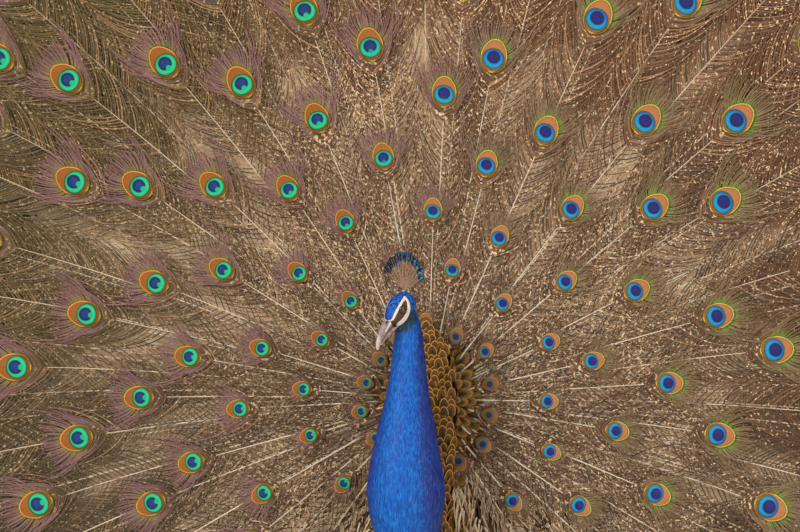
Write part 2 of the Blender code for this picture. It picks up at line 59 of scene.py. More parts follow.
Mesh = bpy.types.Mesh
Material = bpy.types.Material
Pair = tuple[float, float]
Triple = tuple[float, float, float]
Colour = tuple[float, float, float, float]
ROOT_BODY = "root"
# Width of one barb's patch on the OFBake map
PATCH = 0.003
# Triangles planned for one piece of the train's barbs
PIECE_ROOM = 180000
# Height of an eye's egg shape over its width
EGG_HEIGHT = 1.27


def srgb(red: float, green: float, blue: float) -> Colour:
    """A colour named on the 0 to 255 display scale, as linear light with full alpha."""
    linear = []
    for value in (red, green, blue):
        part = value / 255.0
        linear.append(part / 12.92 if part <= 0.04045 else ((part + 0.055) / 1.055) ** 2.4)
    return (*linear, 1.0)


def ease(start: float, stop: float, value: Array) -> Array:
    """Goes smoothly from 0 at start to 1 at stop, for a number or an array."""
    part = np.clip((np.asarray(value, float) - start) / (stop - start), 0.0, 1.0)
    return part * part * (3.0 - 2.0 * part)


def unit(vectors: Array) -> Array:
    """Vectors brought to a length of one."""
    return vectors / np.linalg.norm(vectors, axis=-1, keepdims=True)


# Shader writing


class Wire:
    """An output socket of a material's nodes that takes part in Python sums."""

    def __init__(self, graph: "Graph", socket: bpy.types.NodeSocket) -> None:
        """Wraps one output socket of a graph."""
        self.graph = graph
        self.socket = socket

    def math(self, operation: str, *others: object, swap: bool = False) -> "Wire":
        """A Math node on this wire and others; swap puts this wire last."""
        values = [*others, self] if swap else [self, *others]
        return self.graph.node("ShaderNodeMath", {"operation": operation}, dict(enumerate(values)))

    def __add__(self, other: object) -> "Wire":
        """Sum."""
        return self.math("ADD", other)

    __radd__ = __add__

    def __sub__(self, other: object) -> "Wire":
        """Difference."""
        return self.math("SUBTRACT", other)

    def __rsub__(self, other: object) -> "Wire":
        """Difference with this wire taken away."""
        return self.math("SUBTRACT", other, swap=True)

    def __mul__(self, other: object) -> "Wire":
        """Product."""
        return self.math("MULTIPLY", other)

    __rmul__ = __mul__

    def __truediv__(self, other: object) -> "Wire":
        """Quotient."""
        return self.math("DIVIDE", other)

    def __pow__(self, other: object) -> "Wire":
        """Power."""
        return self.math("POWER", other)

    def __abs__(self) -> "Wire":
        """Size without sign."""
        return self.math("ABSOLUTE")

    def step(self, low: float, high: float) -> "Wire":
        """Smooth step from 0 at low to 1 at high; with low over high it falls instead."""
        flip = low > high
        values = {"Value": self, "From Min": min(low, high), "From Max": max(low, high)}
        made = self.graph.node("ShaderNodeMapRange", {"interpolation_type": "SMOOTHSTEP"}, values)
        return 1.0 - made if flip else made

    def within(self, low: float, high: float, edge: float) -> "Wire":
        """One between low and high and zero outside, with soft edges."""
        return self.step(low - edge, low + edge) * self.step(high + edge, high - edge)


class Graph:
    """A material's node tree, written with one call for each node."""

    def __init__(self, name: str) -> None:
        """Starts an empty material with an output node."""
        self.material = bpy.data.materials.new(name)
        self.material.use_nodes = True
        self.tree = self.material.node_tree
        self.tree.nodes.clear()
        self.output = self.tree.nodes.new("ShaderNodeOutputMaterial")

    def node(
        self, kind: str, settings: dict | None = None, values: dict | None = None, out: object = 0
    ) -> Wire:
        """Adds a node.

        Args:
            kind: the node's type name.
            settings: properties set before the sockets.
            values: input sockets by name or number, each a number, a colour or a Wire.
            out: name or number of the output wanted.

        Returns:
            The wanted output.
        """
        made = self.tree.nodes.new(kind)
        for key, value in (settings or {}).items():
            setattr(made, key, value)
        for key, value in (values or {}).items():
            socket = made.inputs[key]
            if isinstance(value, Wire):
                self.tree.links.new(value.socket, socket)
            else:
                socket.default_value = value
        return Wire(self, made.outputs[out])

    def place(self) -> Wire:
        """Object coordinates, which are the frame's metres."""
        return self.node("ShaderNodeTexCoord", out="Object")

    def read(self, name: str, out: str = "Fac") -> Wire:
        """A named attribute of the mesh."""
        return self.node("ShaderNodeAttribute", {"attribute_name": name}, out=out)

    def parts(self, vector: Wire) -> tuple[Wire, Wire, Wire]:
        """The three numbers of a vector."""
        first = self.node("ShaderNodeSeparateXYZ", values={0: vector})
        owner = first.socket.node
        return tuple(Wire(self, owner.outputs[index]) for index in range(3))

    def join(self, x: object, y: object, z: object) -> Wire:
        """A vector from three numbers."""
        return self.node("ShaderNodeCombineXYZ", values={0: x, 1: y, 2: z})

    def noise(self, vector: Wire, scale: float, detail: float = 2.0, rough: float = 0.5) -> Wire:
        """Smooth noise from 0 to 1 in a vector's space."""
        values = {"Vector": vector, "Scale": scale, "Detail": detail, "Roughness": rough}
        return self.node("ShaderNodeTexNoise", values=values)

    def stretch(self, vector: Wire, scale: Triple, turn: Triple = (0.0, 0.0, 0.0)) -> Wire:
        """Scales and turns a vector."""
        return self.node("ShaderNodeMapping", values={"Vector": vector, "Scale": scale, "Rotation": turn})

    def mix(self, share: object, low: object, high: object) -> Wire:
        """Blends two colours by a share of the second."""
        return self.node("ShaderNodeMix", {"data_type": "RGBA"}, {0: share, 6: low, 7: high}, out=2)

    def paint(self, ground: object, *coats: tuple[object, object]) -> Wire:
        """Lays coats over a ground, each given as its share and its colour."""
        for share, colour in coats:
            ground = self.mix(share, ground, colour)
        return ground

    def finish(
        self, colour: object, roughness: object, relief: Wire | None = None, depth: float = 0.0005,
        **fixed: object,
    ) -> Material:
        """Ends the graph in a Principled shader.

        Args:
            colour: base colour, a wire or a colour.
            roughness: a wire or a number.
            relief: height from 0 to 1 for the bump.
            depth: how far a relief of 1 stands out, in metres.
            fixed: other sockets by their name with _ for a space, always plain numbers or colours.

        Returns:
            The material.
        """
        values = {"Base Color": colour, "Roughness": roughness}
        if relief is not None:
            values["Normal"] = self.node("ShaderNodeBump", values={"Height": relief, "Distance": depth})
        for name, value in fixed.items():
            values[name.replace("_", " ").title().replace("Ior", "IOR")] = value
        shader = self.node("ShaderNodeBsdfPrincipled", values=values)
        self.tree.links.new(shader.socket, self.output.inputs["Surface"])
        return self.material


# Mesh writing


def link(name: str, data: bpy.types.ID) -> Object:
    """Puts a mesh, light or camera into the scene as an object at the origin."""
    made = bpy.data.objects.new(name, data)
    bpy.context.scene.collection.objects.link(made)
    return made


def new_piece(mesh: Mesh, material: Material) -> Object:
    """Links a mesh as a smooth object of its own name, with one material."""
    mesh.materials.clear()
    mesh.materials.append(material)
    mesh.polygons.foreach_set("use_smooth", np.full(len(mesh.polygons), True))
    return link(mesh.name, mesh)


def settle_in(piece: Object, slot: str, *nodes: str) -> Object:
    """Ties a finished piece to the body, hides the nodes it stands for, and reports its triangles."""
    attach(piece, ROOT_BODY)
    if nodes:
        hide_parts(*nodes)
    piece.data.calc_loop_triangles()
    log.info("%s: %d triangles", piece.name, len(piece.data.loop_triangles))
    return piece


def strip_faces(strips: int, sections: int) -> Array:
    """The quads of strips whose points come in pairs, section by section."""
    first = (np.arange(strips)[:, None] * sections + np.arange(sections - 1)[None, :]) * 2
    return np.stack([first, first + 1, first + 3, first + 2], axis=-1).reshape(-1, 4)


@dataclass
class Strands:
    """Gathers thin flat strips of one number of cross-sections, and makes them one mesh."""

    paths: list[Array] = field(default_factory=list)
    spreads: list[Array] = field(default_factory=list)
    patches: list[Array] = field(default_factory=list)
    marks: dict[str, list[Array]] = field(default_factory=dict)

    def add(self, path: Array, spread: Array, patch: Array, **marks: Array) -> None:
        """Adds strips.

        Args:
            path: (strips, sections, 3) centre line points.
            spread: (strips, sections, 3) vectors from the centre line to one edge.
            patch: (strips, 2) centres of the patches on the OFBake map.
            marks: values for each strip, or each strip and section, kept as attributes.
        """
        self.paths.append(path)
        self.spreads.append(spread)
        self.patches.append(patch)
        for name, value in marks.items():
            if value.ndim == 1:
                value = np.repeat(value[:, None], path.shape[1], axis=1)
            self.marks.setdefault(name, []).append(value)

    def mesh(self, name: str) -> Mesh:
        """Makes the mesh, with its marks as attributes and its OFBake map."""
        path = np.concatenate(self.paths)
        spread = np.concatenate(self.spreads)
        centre = np.concatenate(self.patches)[:, None]
        strips, sections = path.shape[:2]
        points = np.stack([path - spread, path + spread], axis=2).reshape(-1, 3)
        patch = np.empty((strips, sections, 2, 2))
        patch[..., 0, 0] = centre[..., 0] - PATCH / 2
        patch[..., 1, 0] = centre[..., 0] + PATCH / 2
        patch[..., 1] = (centre[..., 1] + np.linspace(-0.5, 0.5, sections) * PATCH)[..., None]
        made = mesh_from(name, points, strip_faces(strips, sections), patch.reshape(-1, 2))
        for mark, values in self.marks.items():
            put_mark(made, mark, np.repeat(np.concatenate(values).reshape(-1), 2))
        return made


def mesh_from(
    name: str, points: Array, faces: Array, patch: Array | None = None
) -> Mesh:
    """A mesh from points and faces of equal size, with an OFBake map if the points' places are given."""
    made = bpy.data.meshes.new(name)
    made.vertices.add(len(points))
    made.vertices.foreach_set("co", np.ascontiguousarray(points, np.float32).reshape(-1))
    made.loops.add(faces.size)
    made.loops.foreach_set("vertex_index", np.ascontiguousarray(faces, np.int32).reshape(-1))
    made.polygons.add(len(faces))
    made.polygons.foreach_set("loop_start", np.arange(len(faces), dtype=np.int32) * faces.shape[1])
    made.update(calc_edges=True)
    if patch is not None:
        add_map(made, "OFBake", patch)
    return made


def add_map(mesh: Mesh, name: str, places: Array) -> None:
    """Adds a UV map that gives each vertex one place."""
    layer = mesh.uv_layers.new(name=name)
    corners = np.empty(len(mesh.loops), np.int32)
    mesh.loops.foreach_get("vertex_index", corners)
    layer.data.foreach_set("uv", np.ascontiguousarray(places[corners], np.float32).reshape(-1))


def tubes(path: Array, radius: Array, patch: Array, name: str) -> Mesh:
    """Many four-sided quills as one mesh, closed at both ends.

    Args:
        path: (quills, sections, 3) centre lines.
        radius: (quills or 1, sections) radii.
        patch: (quills, sections, 2) places of the sections on the OFBake map.
        name: the mesh's name.

    Returns:
        The mesh.
    """
    quills, sections = path.shape[:2]
    along = unit(np.gradient(path, axis=1))
    across = unit(np.cross(along, np.array([0.0, 1.0, 0.0])))
    over = np.cross(along, across)
    turns = np.arange(4) * math.pi / 2
    ring = across[:, :, None] * np.cos(turns)[:, None] + over[:, :, None] * np.sin(turns)[:, None]
    points = path[:, :, None] + ring * radius[:, :, None, None]
    first = (np.arange(quills)[:, None] * sections + np.arange(sections)[None, :]) * 4
    side = np.arange(4)
    low = first[:, :-1, None] + side
    low_next = first[:, :-1, None] + (side + 1) % 4
    walls = np.stack([low, low_next, low_next + 4, low + 4], axis=-1).reshape(-1, 4)
    caps = np.concatenate([first[:, 0, None] + side[::-1], first[:, -1, None] + side])
    shift = (np.array([[-1, 0], [0, 0], [1, 0], [0, 1]]) * PATCH / 2)[None, None]
    places = (patch[:, :, None] + shift).reshape(-1, 2)
    return mesh_from(name, points.reshape(-1, 3), np.concatenate([walls, caps]), places)


# The studio


@dataclass(frozen=True)
class Lamp:
    """A square soft light aimed at the bird's middle."""

    name: str
    place: Triple
    size: float
    power: float
    colour: Triple
    aim: Triple = (0.0, 0.0, 0.8)

    def light(self) -> None:
        """Hangs the lamp."""
        data = bpy.data.lights.new(self.name, "AREA")
        data.shape = "SQUARE"
        data.size = self.size
        data.energy = self.power
        data.color = self.colour
        made = link(self.name, data)
        made.location = self.place
        made.rotation_euler = (Vector(self.aim) - Vector(self.place)).to_track_quat("-Z", "Y").to_euler()


@dataclass
class Studio:
    """Camera, soft light and a plain pale floor."""

    distance: float = 4.5
    azimuth: float = 12.0
    metres_across: float = 1.105
    eye_right: float = 0.0029
    eye_below: float = 0.0602
    sensor: float = 36.0
    floor_half: float = 14.0
    air: Colour = srgb(246, 236, 222)
    air_strength: float = 0.75
    lamps: tuple[Lamp, ...] = (
        Lamp("key", (-2.6, -4.2, 3.6), 2.4, 150.0, (1.0, 0.96, 0.9)),
        Lamp("fill", (3.4, -3.6, 1.6), 2.8, 55.0, (0.95, 0.97, 1.0)),
        Lamp("back", (0.6, 3.4, 2.8), 2.4, 70.0, (1.0, 0.97, 0.92)),
    )

    def camera(self) -> None:
        """Level camera before the bird, a little to its left, aimed by the near eye."""
        turn = math.radians(self.azimuth)
        away = Vector((math.sin(turn), -math.cos(turn), 0.0))
        right = Vector((math.cos(turn), math.sin(turn), 0.0))
        low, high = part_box("eye_left")
        eye = (Vector(low) + Vector(high)) / 2
        aim = eye - right * self.eye_right + Vector((0.0, 0.0, self.eye_below))
        data = bpy.data.cameras.new("camera")
        data.sensor_width = self.sensor
        data.lens = self.sensor * self.distance / self.metres_across
        data.clip_end = 100.0
        made = link("camera", data)
        made.location = aim + away * self.distance
        made.rotation_euler = (math.pi / 2, 0.0, turn)
        bpy.context.scene.camera = made

    def floor(self) -> None:
        """Pale floor under the bird."""
        graph = Graph("pale_floor")
        cloud = graph.noise(graph.place(), 1.5)
        tint = graph.mix(cloud, srgb(232, 220, 200), srgb(242, 232, 216))
        corners = np.array([[-1.0, -1.0, 0.0], [1.0, -1.0, 0.0], [1.0, 1.0, 0.0], [-1.0, 1.0, 0.0]])
        mesh = mesh_from("floor", corners * self.floor_half, np.array([[0, 1, 2, 3]]))
        new_piece(mesh, graph.finish(tint, 0.8))

    def build(self) -> None:
        """Sets up the whole studio."""
        scene = bpy.context.scene
        scene.view_settings.view_transform = "Standard"
        scene.world = bpy.data.worlds.new("studio")
        scene.world.use_nodes = True
        air = scene.world.node_tree.nodes["Background"].inputs
        air["Color"].default_value = self.air
        air["Strength"].default_value = self.air_strength
        self.floor()
        for lamp in self.lamps:
            lamp.light()
        self.camera()


# The train


@dataclass
class Dish:
    """The shallow dish on which the train spreads. Places on it are flat (x, z) pairs from its centre."""

    centre: Triple = (0.0, 0.005, 0.700)
    reach: float = 1.130
    full_span: float = 104.0
    span: float = 151.0
    low_reach: float = 0.300
    cup: float = 0.200
    lean: float = 0.045

    def rim(self, angle: Array) -> Array:
        """Reach of the train's edge at an angle from straight up, in degrees."""
        low = ease(self.full_span, self.span, np.abs(angle))
        return self.reach * (1 - low) + self.low_reach * low

    def flat(self, reach: Array, angle: Array) -> Array:
        """Flat place at a reach and an angle in degrees."""
        turn = np.radians(angle)
        return np.stack([reach * np.sin(turn), reach * np.cos(turn)], axis=-1)

    def raise_up(self, flat: Array, lift: Array) -> Array:
        """Points in space over flat places, lifted towards the bird's front."""
        reach_squared = np.sum(flat * flat, axis=-1)
        depth = self.cup * reach_squared / self.reach**2 + self.lean * flat[..., 1] / self.reach
        points = np.empty((*flat.shape[:-1], 3))
        points[..., 0] = self.centre[0] + flat[..., 0]
        points[..., 1] = self.centre[1] - depth - lift
        points[..., 2] = self.centre[2] + flat[..., 1]
        return points

    def unroll(self, flat: Array, near: float, far: float) -> Array:
        """Places on the dish's own polar unwrap, between two reaches."""
        angle = np.degrees(np.arctan2(flat[..., 0], flat[..., 1]))
        reach = np.linalg.norm(flat, axis=-1)
        across = 0.5 + 0.49 * angle / 180.0
        along = 0.01 + 0.98 * np.clip((reach - near) / (far - near), 0.0, 1.0)
        return np.stack([across, along], axis=-1)


@dataclass
class Feathers:
    """The long feathers' layout: one row for each feather in every array."""

    reach: Array
    angle: Array
    eyed: Array

    def __len__(self) -> int:
        """Number of feathers."""
        return len(self.reach)


@dataclass
class Barbs:
    """Strips ready to be made a mesh, each with the reach of its feather's tip and its root on the dish."""

    tip: Array
    path: Array
    spread: Array
    root: Array
    marks: dict[str, Array]


@dataclass
class Train:
    """The spread train: eyed feathers in staggered columns, and fishtail feathers round the rim.

    The columns leave the centre at one angle from each other and draw together towards the fan's
    top. Eyes follow each other at one pitch along a column, and every other column is half a pitch
    ahead, as the rows of feathers overlap on a bird's back.
    """

    dish: Dish = field(default_factory=Dish)
    columns: int = 25
    column_step: float = 13.0
    gather: float = 0.26
    drift: float = 8.0
    first_reach: float = 0.102
    pitch: float = 0.164
    stagger: float = 0.5
    join_reach: float = 0.78
    unevenness: tuple[float, float] = (0.009, 1.3)
    rim_room: float = 0.062
    low_room: float = 0.020
    filled_from: float = 0.700
    filled_to: float = 1.072
    fill_row: float = 0.034
    fill_step: float = 0.040
    fill_angle: float = 130.0
    eye_room: float = 0.100
    fishtails: int = 62
    fishtail_inset: float = 0.040
    fishtail_spill: float = 14.0
    eye_small: float = 0.0100
    eye_large: float = 0.0203
    barb_length: float = 0.096
    barb_sections: int = 7
    barb_step: float = 0.0038
    barb_zone: float = 0.340
    under_step: float = 0.0118
    under_behind: float = 0.0040
    back_step: float = 0.0155
    back_behind: float = 0.0115
    down_count: int = 5600
    inner_gap: float = 1.90
    root_reach: float = 0.085
    quill_reach: float = 0.055
    seed: int = 7

    def __post_init__(self) -> None:
        """Lays out the feathers."""
        self.random = np.random.default_rng(self.seed)
        self.feathers = self.lay_out()

    def column_places(self) -> list[tuple[float, float, float]]:
        """(reach, angle, 1) of every eye in the columns."""
        places = []
        for half in range(2 * self.columns - 1):
            column, between = half // 2, half % 2
            root = (half / 2 - (self.columns - 1) / 2) * self.column_step
            first = self.first_reach + self.pitch * ((column * self.stagger) % 1.0)
            first += between * (self.join_reach - self.first_reach)
            for reach in np.arange(first, self.dish.reach, self.pitch):
                angle = root * (1.0 - self.gather * reach) + self.drift * reach
                room = self.rim_room if abs(angle) < self.dish.full_span else self.low_room
                if reach < self.dish.rim(angle) - room:
                    places.append((float(reach), angle, 1.0))
        return places

    def lay_out(self) -> Feathers:
        """Reach and angle of every feather's eye or fishtail."""
        places = self.column_places()
        taken = [self.dish.flat(np.array(reach), np.array(angle)) for reach, angle, _ in places]
        for row, reach in enumerate(np.arange(self.filled_from, self.filled_to, self.fill_row)):
            step = math.degrees(self.fill_step / reach)
            for angle in np.arange(-self.fill_angle + (row % 2) * step / 2, self.fill_angle, step):
                spot = self.dish.flat(np.array(reach), np.array(angle))
                crowded = min(float(np.linalg.norm(spot - other)) for other in taken) < self.eye_room
                if not crowded and reach < self.dish.rim(angle) - self.rim_room:
                    places.append((float(reach), float(angle), 1.0))
                    taken.append(spot)
        for index in range(self.fishtails):
            angle = (index / (self.fishtails - 1) - 0.5) * 2 * (self.dish.full_span + self.fishtail_spill)
            places.append((float(self.dish.rim(angle)) - self.fishtail_inset, angle, 0.0))
        table = np.array(places)
        jitter = self.random.normal(size=(len(table), 2)) * np.array(self.unevenness)
        return Feathers(table[:, 0] + jitter[:, 0], table[:, 1] + jitter[:, 1], table[:, 2])

    def eye_size(self, reach: Array) -> Array:
        """Half width of an eye at a reach."""
        return self.eye_small + (self.eye_large - self.eye_small) * ease(0.03, 0.62, reach)

    def layer(self, reach: Array) -> Array:
        """How far in front of the dish a feather lies: the shorter, the further forward."""
        return 0.002 + 0.020 * (1.0 - np.clip(reach / self.dish.reach, 0.0, 1.0))

    def spine(self, index: Array, reach: Array) -> tuple[Array, Array]:
        """Where feathers' quills are at given reaches.

        Args:
            index: which feather.
            reach: distance from the dish's centre, of the same shape.

        Returns:
            Flat places, and headings in radians from straight up.
        """
        tip_reach = self.feathers.reach[index]
        tip_angle = self.feathers.angle[index]
        share = np.clip(reach / tip_reach, 0.0, 1.2)
        droop = 3.5 * np.sin(np.radians(tip_angle)) * ease(0.2, 0.9, tip_reach)
        angle = tip_angle + droop * (share**2 - 1.0)
        turn = 2.0 * droop * share**2
        return self.dish.flat(reach, angle), np.radians(angle + turn)

    def roots(self, step: float, zone: float) -> tuple[Array, Array, Array]:
        """Every barb's feather, reach along it and side.

        Args:
            step: from one barb to the next along a quill.
            zone: length of quill below each tip that carries them.
        """
        owners, reaches = [], []
        steps = step * (1.0 + self.inner_gap * ease(0.95, 0.25, self.feathers.reach))
        for index, tip in enumerate(self.feathers.reach):
            size = float(self.eye_size(tip)) if self.feathers.eyed[index] else 0.0
            places = np.arange(tip - 0.6 * size, max(self.root_reach, tip - zone), -steps[index])
            owners.append(np.full(2 * len(places), index))
            reaches.append(np.repeat(places, 2))
        owner = np.concatenate(owners)
        return owner, np.concatenate(reaches), np.tile([-1.0, 1.0], len(owner) // 2)

    def barbs(
        self, tip: Array, start: Array, heading: Array, bend: Array, length: Array,
        lift: Array, width: Array, tilt: Array, **marks: Array,
    ) -> Barbs:
        """Curved flat strips raised from the dish.

        Args:
            tip: (n,) reach of each one's feather.
            start: (n, 2) flat starting places.
            heading: (n,) first heading, radians from straight up.
            bend: (n,) change of heading to the end.
            length: (n,) lengths.
            lift: (n, 1 or sections) heights over the dish.
            width: (n or 1, sections) widths.
            tilt: (n,) turn about the centre line, in radians.
            marks: values for each strip, or each strip and section.
        """
        sections = width.shape[1]
        share = np.linspace(0.0, 1.0, sections)
        turn = heading[:, None] + bend[:, None] * ((share[1:] + share[:-1]) / 2) ** 0.75
        step = length[:, None] / (sections - 1)
        moves = np.cumsum(np.stack([np.sin(turn) * step, np.cos(turn) * step], axis=-1), axis=1)
        line = start[:, None] + np.concatenate([np.zeros((len(start), 1, 2)), moves], axis=1)
        path = self.dish.raise_up(line, lift)
        along = unit(np.gradient(path, axis=1))
        across = unit(np.cross(along, np.array([0.0, -1.0, 0.0])))
        over = np.cross(across, along)
        spread = across * np.cos(tilt)[:, None, None] + over * np.sin(tilt)[:, None, None]
        return Barbs(tip, path, spread * (width / 2)[..., None], start, marks)

    def under_barbs(self, step: float, behind: float) -> Barbs:
        """Broad barbs of the layers beneath, dark or pale feather by feather, seen through the vanes.

        Args:
            step: from one barb to the next along a quill.
            behind: how far behind the dish they lie.
        """
        owner, reach, side = self.roots(step, self.dish.reach)
        chance = self.random.random((5, len(owner)))
        start, heading = self.spine(owner, reach)
        tip = self.feathers.reach[owner]
        open_angle = np.radians(46.0 + 12.0 * (chance[0] - 0.5))
        length = np.minimum(0.074 * (0.8 + 0.4 * chance[1]), 0.045 + 1.2 * (tip - reach))
        length *= 0.45 + 0.55 * ease(0.1, 0.4, reach)
        share = np.linspace(0.0, 1.0, 4)[None]
        streak = self.random.random(len(self.feathers))[owner]
        return self.barbs(
            tip, start, heading + side * open_angle, -side * np.radians(30.0), length,
            lift=-behind - 0.004 * chance[2][:, None], width=0.0078 * (1.0 - 0.55 * share**1.5),
            tilt=np.radians(24.0) * (chance[3] - 0.5), tone=0.75 * streak + 0.25 * chance[4],
        )

    def vane_barbs(self) -> Barbs:
        """Loose barbs along both sides of every quill."""
        owner, reach, side = self.roots(self.barb_step, self.barb_zone)
        chance = self.random.random((7, len(owner)))
        start, heading = self.spine(owner, reach + 0.0012 * chance[0])
        tip = self.feathers.reach[owner]
        below_eye = ease(0.085, 0.02, tip - reach) * self.feathers.eyed[owner]
        fishtail = ease(0.07, 0.0, tip - reach) * (1.0 - self.feathers.eyed[owner])
        length = self.barb_length * (0.84 + 0.2 * chance[1]) * (0.55 + 0.45 * ease(0.08, 0.42, tip))
        length *= 1.0 + 0.16 * below_eye + 0.30 * ease(0.6, 0.95, tip)
        length = length * (1.0 - fishtail) + 0.072 * fishtail
        open_angle = np.radians(56.0 + 5.0 * (chance[2] - 0.5) + 8.0 * below_eye - 20.0 * fishtail)
        bend = -np.radians(44.0 + 8.0 * (chance[3] - 0.5) + 14.0 * below_eye) * (1.0 - 0.7 * fishtail)
        share = np.linspace(0.0, 1.0, self.barb_sections)[None]
        width = 0.00185 * (1.0 - 0.66 * share**1.5)
        width = width * (0.85 + 0.3 * chance[5])[:, None] * (0.75 + 0.25 * ease(0.1, 0.3, reach))[:, None]
        return self.barbs(
            tip, start, heading + side * open_angle, side * bend, length,
            lift=self.layer(tip)[:, None] + (0.0034 * (chance[4][:, None] - 0.5)) * share, width=width,
            tilt=np.radians(36.0) * (chance[6] - 0.5), tone=self.random.random(len(owner)),
            mauve=below_eye[:, None] * ease(0.25, 0.85, share) * ease(0.12, 0.34, tip)[:, None],
        )

    def halo_barbs(self, fringe: int = 68, wrap: int = 18) -> Barbs:
        """Soft barbs round every eye: a fringe from its edge, and longer ones that sweep up past it.

        Args:
            fringe: number of barbs on an eye's edge.
            wrap: number of longer ones on each side, from the quill below the eye.
        """
        eyed = np.flatnonzero(self.feathers.eyed)
        owner = np.repeat(eyed, fringe + 2 * wrap)
        chance = self.random.random((6, len(owner)))
        tip = self.feathers.reach[owner]
        size = self.eye_size(tip)
        centre, heading = self.spine(owner, tip)
        turn = np.tile(np.concatenate([np.linspace(-112.0, 112.0, fringe), np.zeros(2 * wrap)]), len(eyed))
        turn = np.radians(turn + 5.0 * (chance[0] - 0.5))
        rung = np.concatenate([np.zeros(fringe), np.tile(np.linspace(0.0, 1.0, wrap), 2)])
        rung = np.tile(rung, len(eyed)) + 0.03 * chance[1]
        hand = np.tile(np.concatenate([np.zeros(fringe), -np.ones(wrap), np.ones(wrap)]), len(eyed))
        wraps = np.abs(hand)[:, None]
        on_edge = self.outline(turn) * (0.74 + 0.2 * chance[1])[:, None]
        on_quill = np.stack([0.0 * rung, -0.75 - 1.5 * rung], axis=-1)
        start = centre + self.turned(np.where(wraps > 0, on_quill, on_edge) * size[:, None], heading)
        lean = np.abs(turn) / math.pi
        fringe_open = np.sign(turn) * np.minimum(np.abs(turn) * 0.70, 1.25)
        fringe_bend = np.sign(turn) * np.radians(10.0 + 60.0 * lean)
        fringe_length = 1.45 + 1.4 * lean + 0.6 * (chance[2] - 0.5)
        wrap_length = 2.75 + 0.5 * rung + 0.7 * (chance[2] - 0.5)
        share = np.linspace(0.0, 1.0, 6)[None]
        near_eye = (1.0 - share) ** 2.0 * (1.0 - wraps) * 0.95
        soft = 1.0 - wraps * (1.0 - ease(0.10, 0.75, share)) * (0.4 + 0.6 * rung[:, None])
        return self.barbs(
            tip, start,
            heading=heading + np.where(hand, hand * np.radians(86.0 - 22.0 * rung), fringe_open),
            bend=-np.where(hand, hand * np.radians(78.0 - 22.0 * rung), fringe_bend),
            length=size * np.where(hand, wrap_length, fringe_length),
            lift=self.layer(tip)[:, None] + 0.0012 + 0.005 * (chance[3][:, None] - 0.4) * share,
            width=size[:, None] * 0.084 * (1.0 - 0.65 * share**1.5),
            tilt=np.radians(50.0) * (chance[4] - 0.5), tone=chance[5],
            mauve=soft * ease(0.12, 0.34, tip)[:, None] + near_eye,
        )

    def down_strands(self) -> Barbs:
        """Pale down of the feathers' lower parts, behind the barbs round the dish's centre."""
        chance = self.random.random((6, self.down_count))
        reach = 0.070 + 0.36 * chance[0] ** 0.7
        angle = -165.0 + 330.0 * chance[1]
        side = np.sign(chance[2] - 0.5)
        share = np.linspace(0.0, 1.0, 5)[None]
        return self.barbs(
            reach, self.dish.flat(reach, angle), heading=np.radians(angle) + side * 0.8 * chance[2],
            bend=-side * 0.6 * chance[3], length=0.03 + 0.02 * chance[4],
            lift=-0.004 - 0.006 * chance[5][:, None], width=0.0030 * (1.0 - 0.7 * share),
            tilt=np.radians(60.0) * (chance[3] - 0.5), tone=chance[5],
            along=np.repeat(share, self.down_count, axis=0),
        )

    @staticmethod
    def turned(local: Array, heading: Array) -> Array:
        """Flat vectors given across and along a feather, turned to its heading."""
        across = np.stack([np.cos(heading), -np.sin(heading)], axis=-1)
        along = np.stack([np.sin(heading), np.cos(heading)], axis=-1)
        return local[..., :1] * across + local[..., 1:] * along

    def quills(self) -> Mesh:
        """The pale shafts of all the feathers."""
        share = np.linspace(0.0, 1.0, 16)[None]
        tip = self.feathers.reach[:, None]
        reach = self.quill_reach + (tip - self.quill_reach) * share
        flat, _ = self.spine(np.arange(len(self.feathers))[:, None], reach)
        lift = self.layer(tip) * (0.25 + 0.75 * ease(0.0, 0.3, share)) - 0.0002
        low = ease(85.0, 120.0, np.abs(self.feathers.angle))[:, None]
        thick = 0.00135 + 0.0004 * low + 0.00030 * ease(0.2, 0.9, tip)
        radius = thick * (1.0 - 0.72 * share**1.2)
        places = self.dish.unroll(flat, 0.0, self.dish.reach)
        return tubes(self.dish.raise_up(flat, lift), radius, places, "train_quills")

    def eye_discs(self, chosen: Array, name: str) -> Mesh:
        """The vanes of a set of eyes: overlapping barbs over a closed backing, with their own vane map."""
        tip = self.feathers.reach[chosen]
        size = self.eye_size(tip)
        centre, heading = self.spine(chosen, tip)
        grid = math.ceil(math.sqrt(len(chosen)))
        cell = 1.0 / grid
        corner = np.stack([np.arange(len(chosen)) % grid, np.arange(len(chosen)) // grid], axis=-1) * cell
        points, faces, vane, places = [], [], [], []
        offset = 0
        for local, rise, quads in (self.backing_points(), self.barb_points()):
            flat = centre[:, None] + self.turned(local[None] * size[:, None, None], heading[:, None])
            lift = self.layer(tip)[:, None] + 0.0035 + rise[None] * size[:, None]
            points.append(self.dish.raise_up(flat, lift).reshape(-1, 3))
            steps = offset + np.arange(len(chosen))[:, None, None] * len(local)
            faces.append((quads[None] + steps).reshape(-1, 4))
            vane.append(np.tile(local, (len(chosen), 1)))
            places.append((corner[:, None] + cell * (0.5 + local[None] * 0.34)).reshape(-1, 2))
            offset += len(chosen) * len(local)
        made = mesh_from(name, np.concatenate(points), np.concatenate(faces), np.concatenate(places))
        add_map(made, "vane", np.concatenate(vane))
        return made

    @staticmethod
    def outline(turn: Array) -> Array:
        """Edge of an eye in half widths: an egg with its narrow end at the tip."""
        up = np.cos(turn)
        return np.stack([np.sin(turn) * (1.0 - 0.10 * up), up * EGG_HEIGHT], axis=-1)

